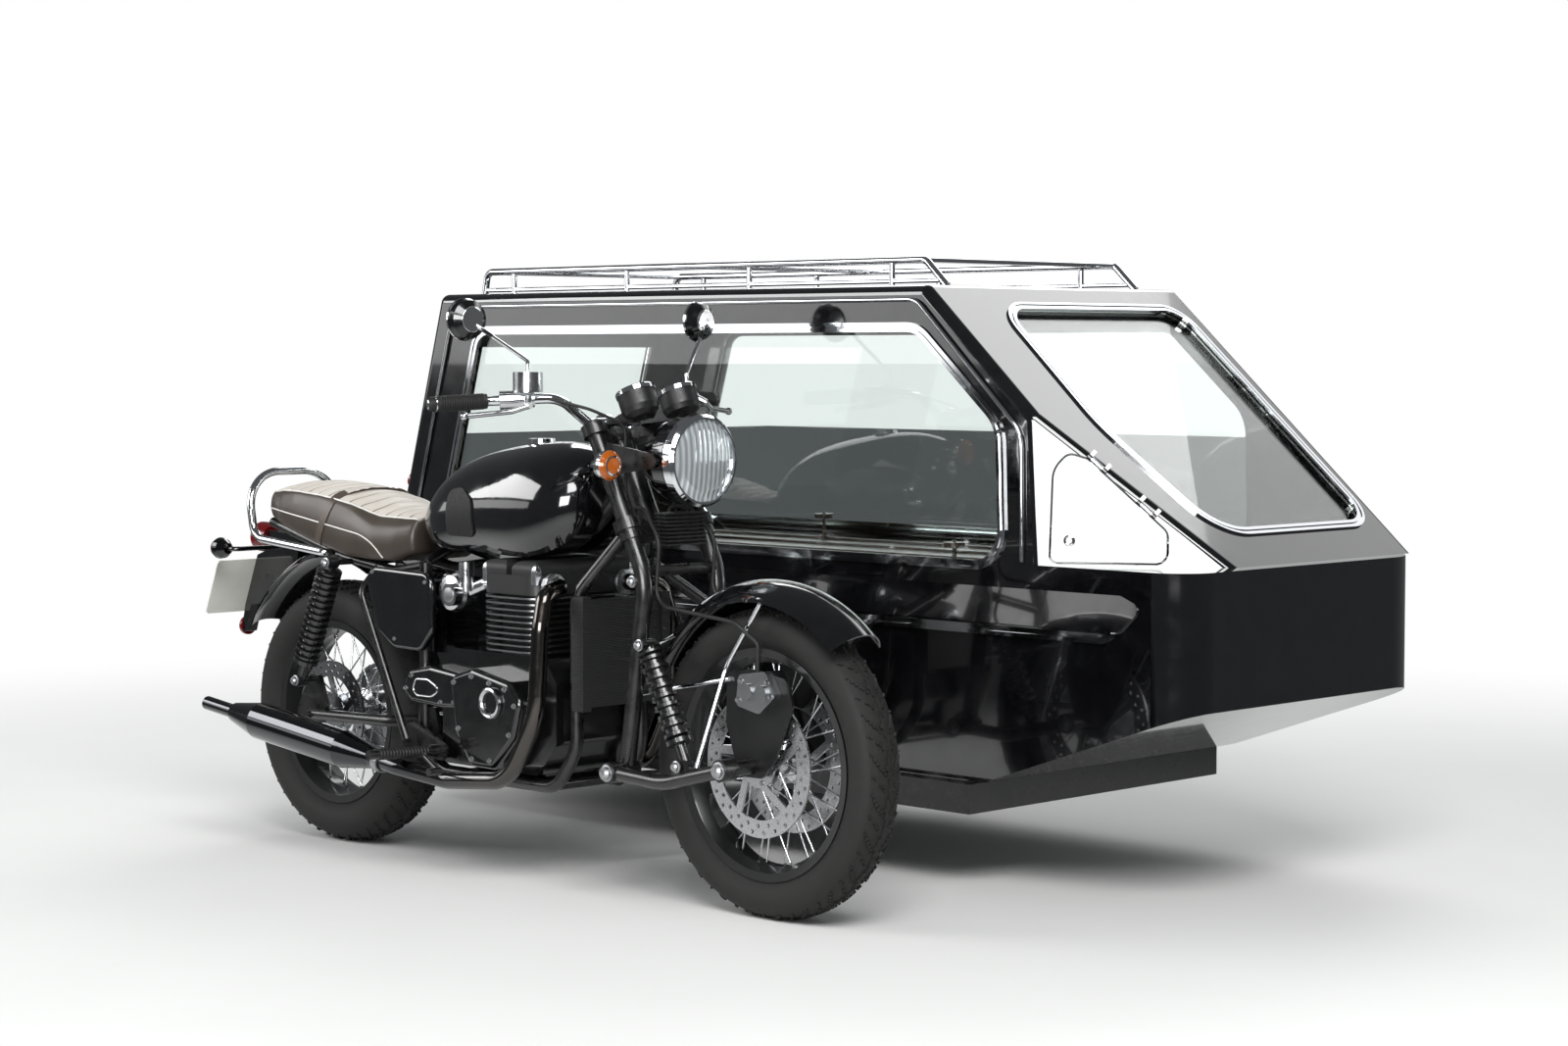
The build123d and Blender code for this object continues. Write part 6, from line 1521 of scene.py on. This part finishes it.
def camera():
    data = bpy.data.cameras.new("camera")
    data.sensor_width = SENSOR_WIDTH
    data.lens = FOCAL_PIXELS / IMAGE_WIDTH * SENSOR_WIDTH
    data.clip_end = 200
    eye = bpy.data.objects.new("camera", data)
    forward = Vector(
        (
            -sin(CAMERA_TURN) * cos(CAMERA_DIP),
            cos(CAMERA_TURN) * cos(CAMERA_DIP),
            -sin(CAMERA_DIP),
        )
    )
    right = Vector((cos(CAMERA_TURN), sin(CAMERA_TURN), 0))
    up = right.cross(forward)
    turn = Matrix((right, up, -forward)).transposed().to_4x4()
    eye.matrix_world = Matrix.Translation(spot(*CAMERA_PLACE)) @ turn
    bpy.context.scene.collection.objects.link(eye)
    bpy.context.scene.camera = eye


def softbox(name, place, aim, size, power, on_matt=True):
    """A soft area light; one that is off for matt surfaces only shows in gloss."""
    data = bpy.data.lights.new(name, "AREA")
    data.shape = "RECTANGLE"
    data.size, data.size_y = size
    data.energy = power
    lamp = bpy.data.objects.new(name, data)
    lamp.visible_diffuse = on_matt
    lamp.visible_camera = False
    way = Vector(aim) - Vector(place)
    lamp.matrix_world = Matrix.Translation(place) @ way.to_track_quat("-Z", "Y").to_matrix().to_4x4()
    bpy.context.scene.collection.objects.link(lamp)


SOFTBOXES = [
    # name, place, aim, size, power, lights matt surfaces
    ("key", (4.6, -3.4, 5.2), (0.1, -0.2, 0.6), (4.0, 3.0), 430, True),
    ("side", (-4.5, -4.6, 3.4), (0.0, 0.0, 0.6), (4.0, 2.4), 200, True),
    ("back", (-3.0, 5.0, 5.0), (0.0, 0.0, 1.0), (5.0, 3.0), 200, True),
    ("sky", (0.2, 5.6, 5.6), (0.9, 0.3, 1.0), (5.5, 3.6), 70, False),
    ("sky_heart", (0.3, 5.2, 5.6), (0.9, 0.3, 1.0), (2.2, 1.6), 18, False),
    ("ahead", (4.9, -7.2, 2.1), (1.1, 0.1, 0.9), (4.4, 3.0), 620, False),
    ("low_strip", (-5.5, -4.6, 1.6), (0.4, 0.0, 0.6), (5.0, 0.9), 26, False),
]
# Metres: the floor's half side, and the distances over which it runs into the white for the camera
# and into the dim room for what shiny surfaces mirror
FLOOR_HALF = 30.0
WHITE_FADE = (2.3, 5.2)
ROOM_FADE = (1.6, 3.4)
ROOM_COLOUR = "#cfd3d6"
ROOM_LIGHT = 0.5
ROOM_MIRRORED = 0.16


def studio():
    for row in SOFTBOXES:
        softbox(*row)
    world = bpy.data.worlds.new("studio")
    bpy.context.scene.world = world
    world.use_nodes = True
    tree = world.node_tree
    tree.nodes.clear()
    room = add(
        tree, "ShaderNodeBackground", {"Color": linear(ROOM_COLOUR)}, {"Strength": room_strength(tree)}
    )
    backdrop = add(tree, "ShaderNodeBackground", {"Color": (1, 1, 1, 1), "Strength": 1.0})
    mix = add(tree, "ShaderNodeMixShader", links={0: seen_by_camera(tree), 1: room, 2: backdrop})
    add(tree, "ShaderNodeOutputWorld", links={"Surface": mix})
    mesh = bmesh.new()
    bmesh.ops.create_grid(mesh, x_segments=1, y_segments=1, size=FLOOR_HALF)
    data = bpy.data.meshes.new("floor")
    mesh.to_mesh(data)
    mesh.free()
    data.materials.append(floor_paint)
    floor = bpy.data.objects.new("floor", data)
    bpy.context.scene.collection.objects.link(floor)
    floor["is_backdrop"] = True


def room_strength(tree):
    """The room lights matt surfaces evenly and stays darker in what shiny ones mirror."""
    return add(
        tree,
        "ShaderNodeMapRange",
        {"To Min": ROOM_LIGHT, "To Max": ROOM_MIRRORED},
        {"Value": (add(tree, "ShaderNodeLightPath"), "Is Glossy Ray")},
    )


def seen_by_camera(tree):
    """One for what the camera sees straight or through glass, nothing for what lights the scene."""
    path = add(tree, "ShaderNodeLightPath")
    return add(
        tree,
        "ShaderNodeMath",
        {"operation": "MAXIMUM"},
        {0: (path, "Is Camera Ray"), 1: (path, "Is Transmission Ray")},
    )


def far_off(tree, place, fade, rays):
    """Nothing near the vehicle, rising to one over a span of distances, for some rays only."""
    starts, ends = fade
    away = add(tree, "ShaderNodeVectorMath", {"operation": "LENGTH"}, {0: place})
    far = add(
        tree,
        "ShaderNodeMapRange",
        {"interpolation_type": "SMOOTHSTEP", "From Min": starts, "From Max": ends},
        {"Value": (away, "Value")},
    )
    return add(tree, "ShaderNodeMath", {"operation": "MULTIPLY"}, {0: far, 1: rays})


def fading_floor():
    """Painted studio floor: pale and even, running out into the white of the backdrop."""
    material = bpy.data.materials.new("floor_paint")
    material.use_nodes = True
    tree = material.node_tree
    tree.nodes.clear()
    place = (add(tree, "ShaderNodeTexCoord"), "Object")
    mottle = add(tree, "ShaderNodeTexNoise", {"Scale": METRE / 400, "Detail": 3}, {"Vector": place})
    colour = add(
        tree,
        "ShaderNodeMix",
        {"data_type": "RGBA", COLOUR_A: linear("#e6e6e4"), COLOUR_B: linear("#ebebe9")},
        {0: mottle},
    )
    paint = add(
        tree, "ShaderNodeBsdfPrincipled", {"Roughness": 0.7}, {"Base Color": (colour, COLOUR_OUT)}
    )
    white = add(tree, "ShaderNodeEmission", {"Color": (1, 1, 1, 1), "Strength": 1.0})
    fade = far_off(tree, place, WHITE_FADE, seen_by_camera(tree))
    faded = add(tree, "ShaderNodeMixShader", links={0: fade, 1: paint, 2: white})
    room = add(tree, "ShaderNodeEmission", {"Color": linear(ROOM_COLOUR), "Strength": ROOM_MIRRORED})
    shiny = (add(tree, "ShaderNodeLightPath"), "Is Glossy Ray")
    dim = far_off(tree, place, ROOM_FADE, shiny)
    both = add(tree, "ShaderNodeMixShader", links={0: dim, 1: faded, 2: room})
    add(tree, "ShaderNodeOutputMaterial", links={"Surface": both})
    return material


floor_paint = fading_floor()
camera()
studio()
bpy.context.scene.view_settings.view_transform = "Standard"


def corners(box):
    return [list(corner) for corner in box]


visual_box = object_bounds()
{"cad": corners(cad_box), "visual": corners(visual_box)}
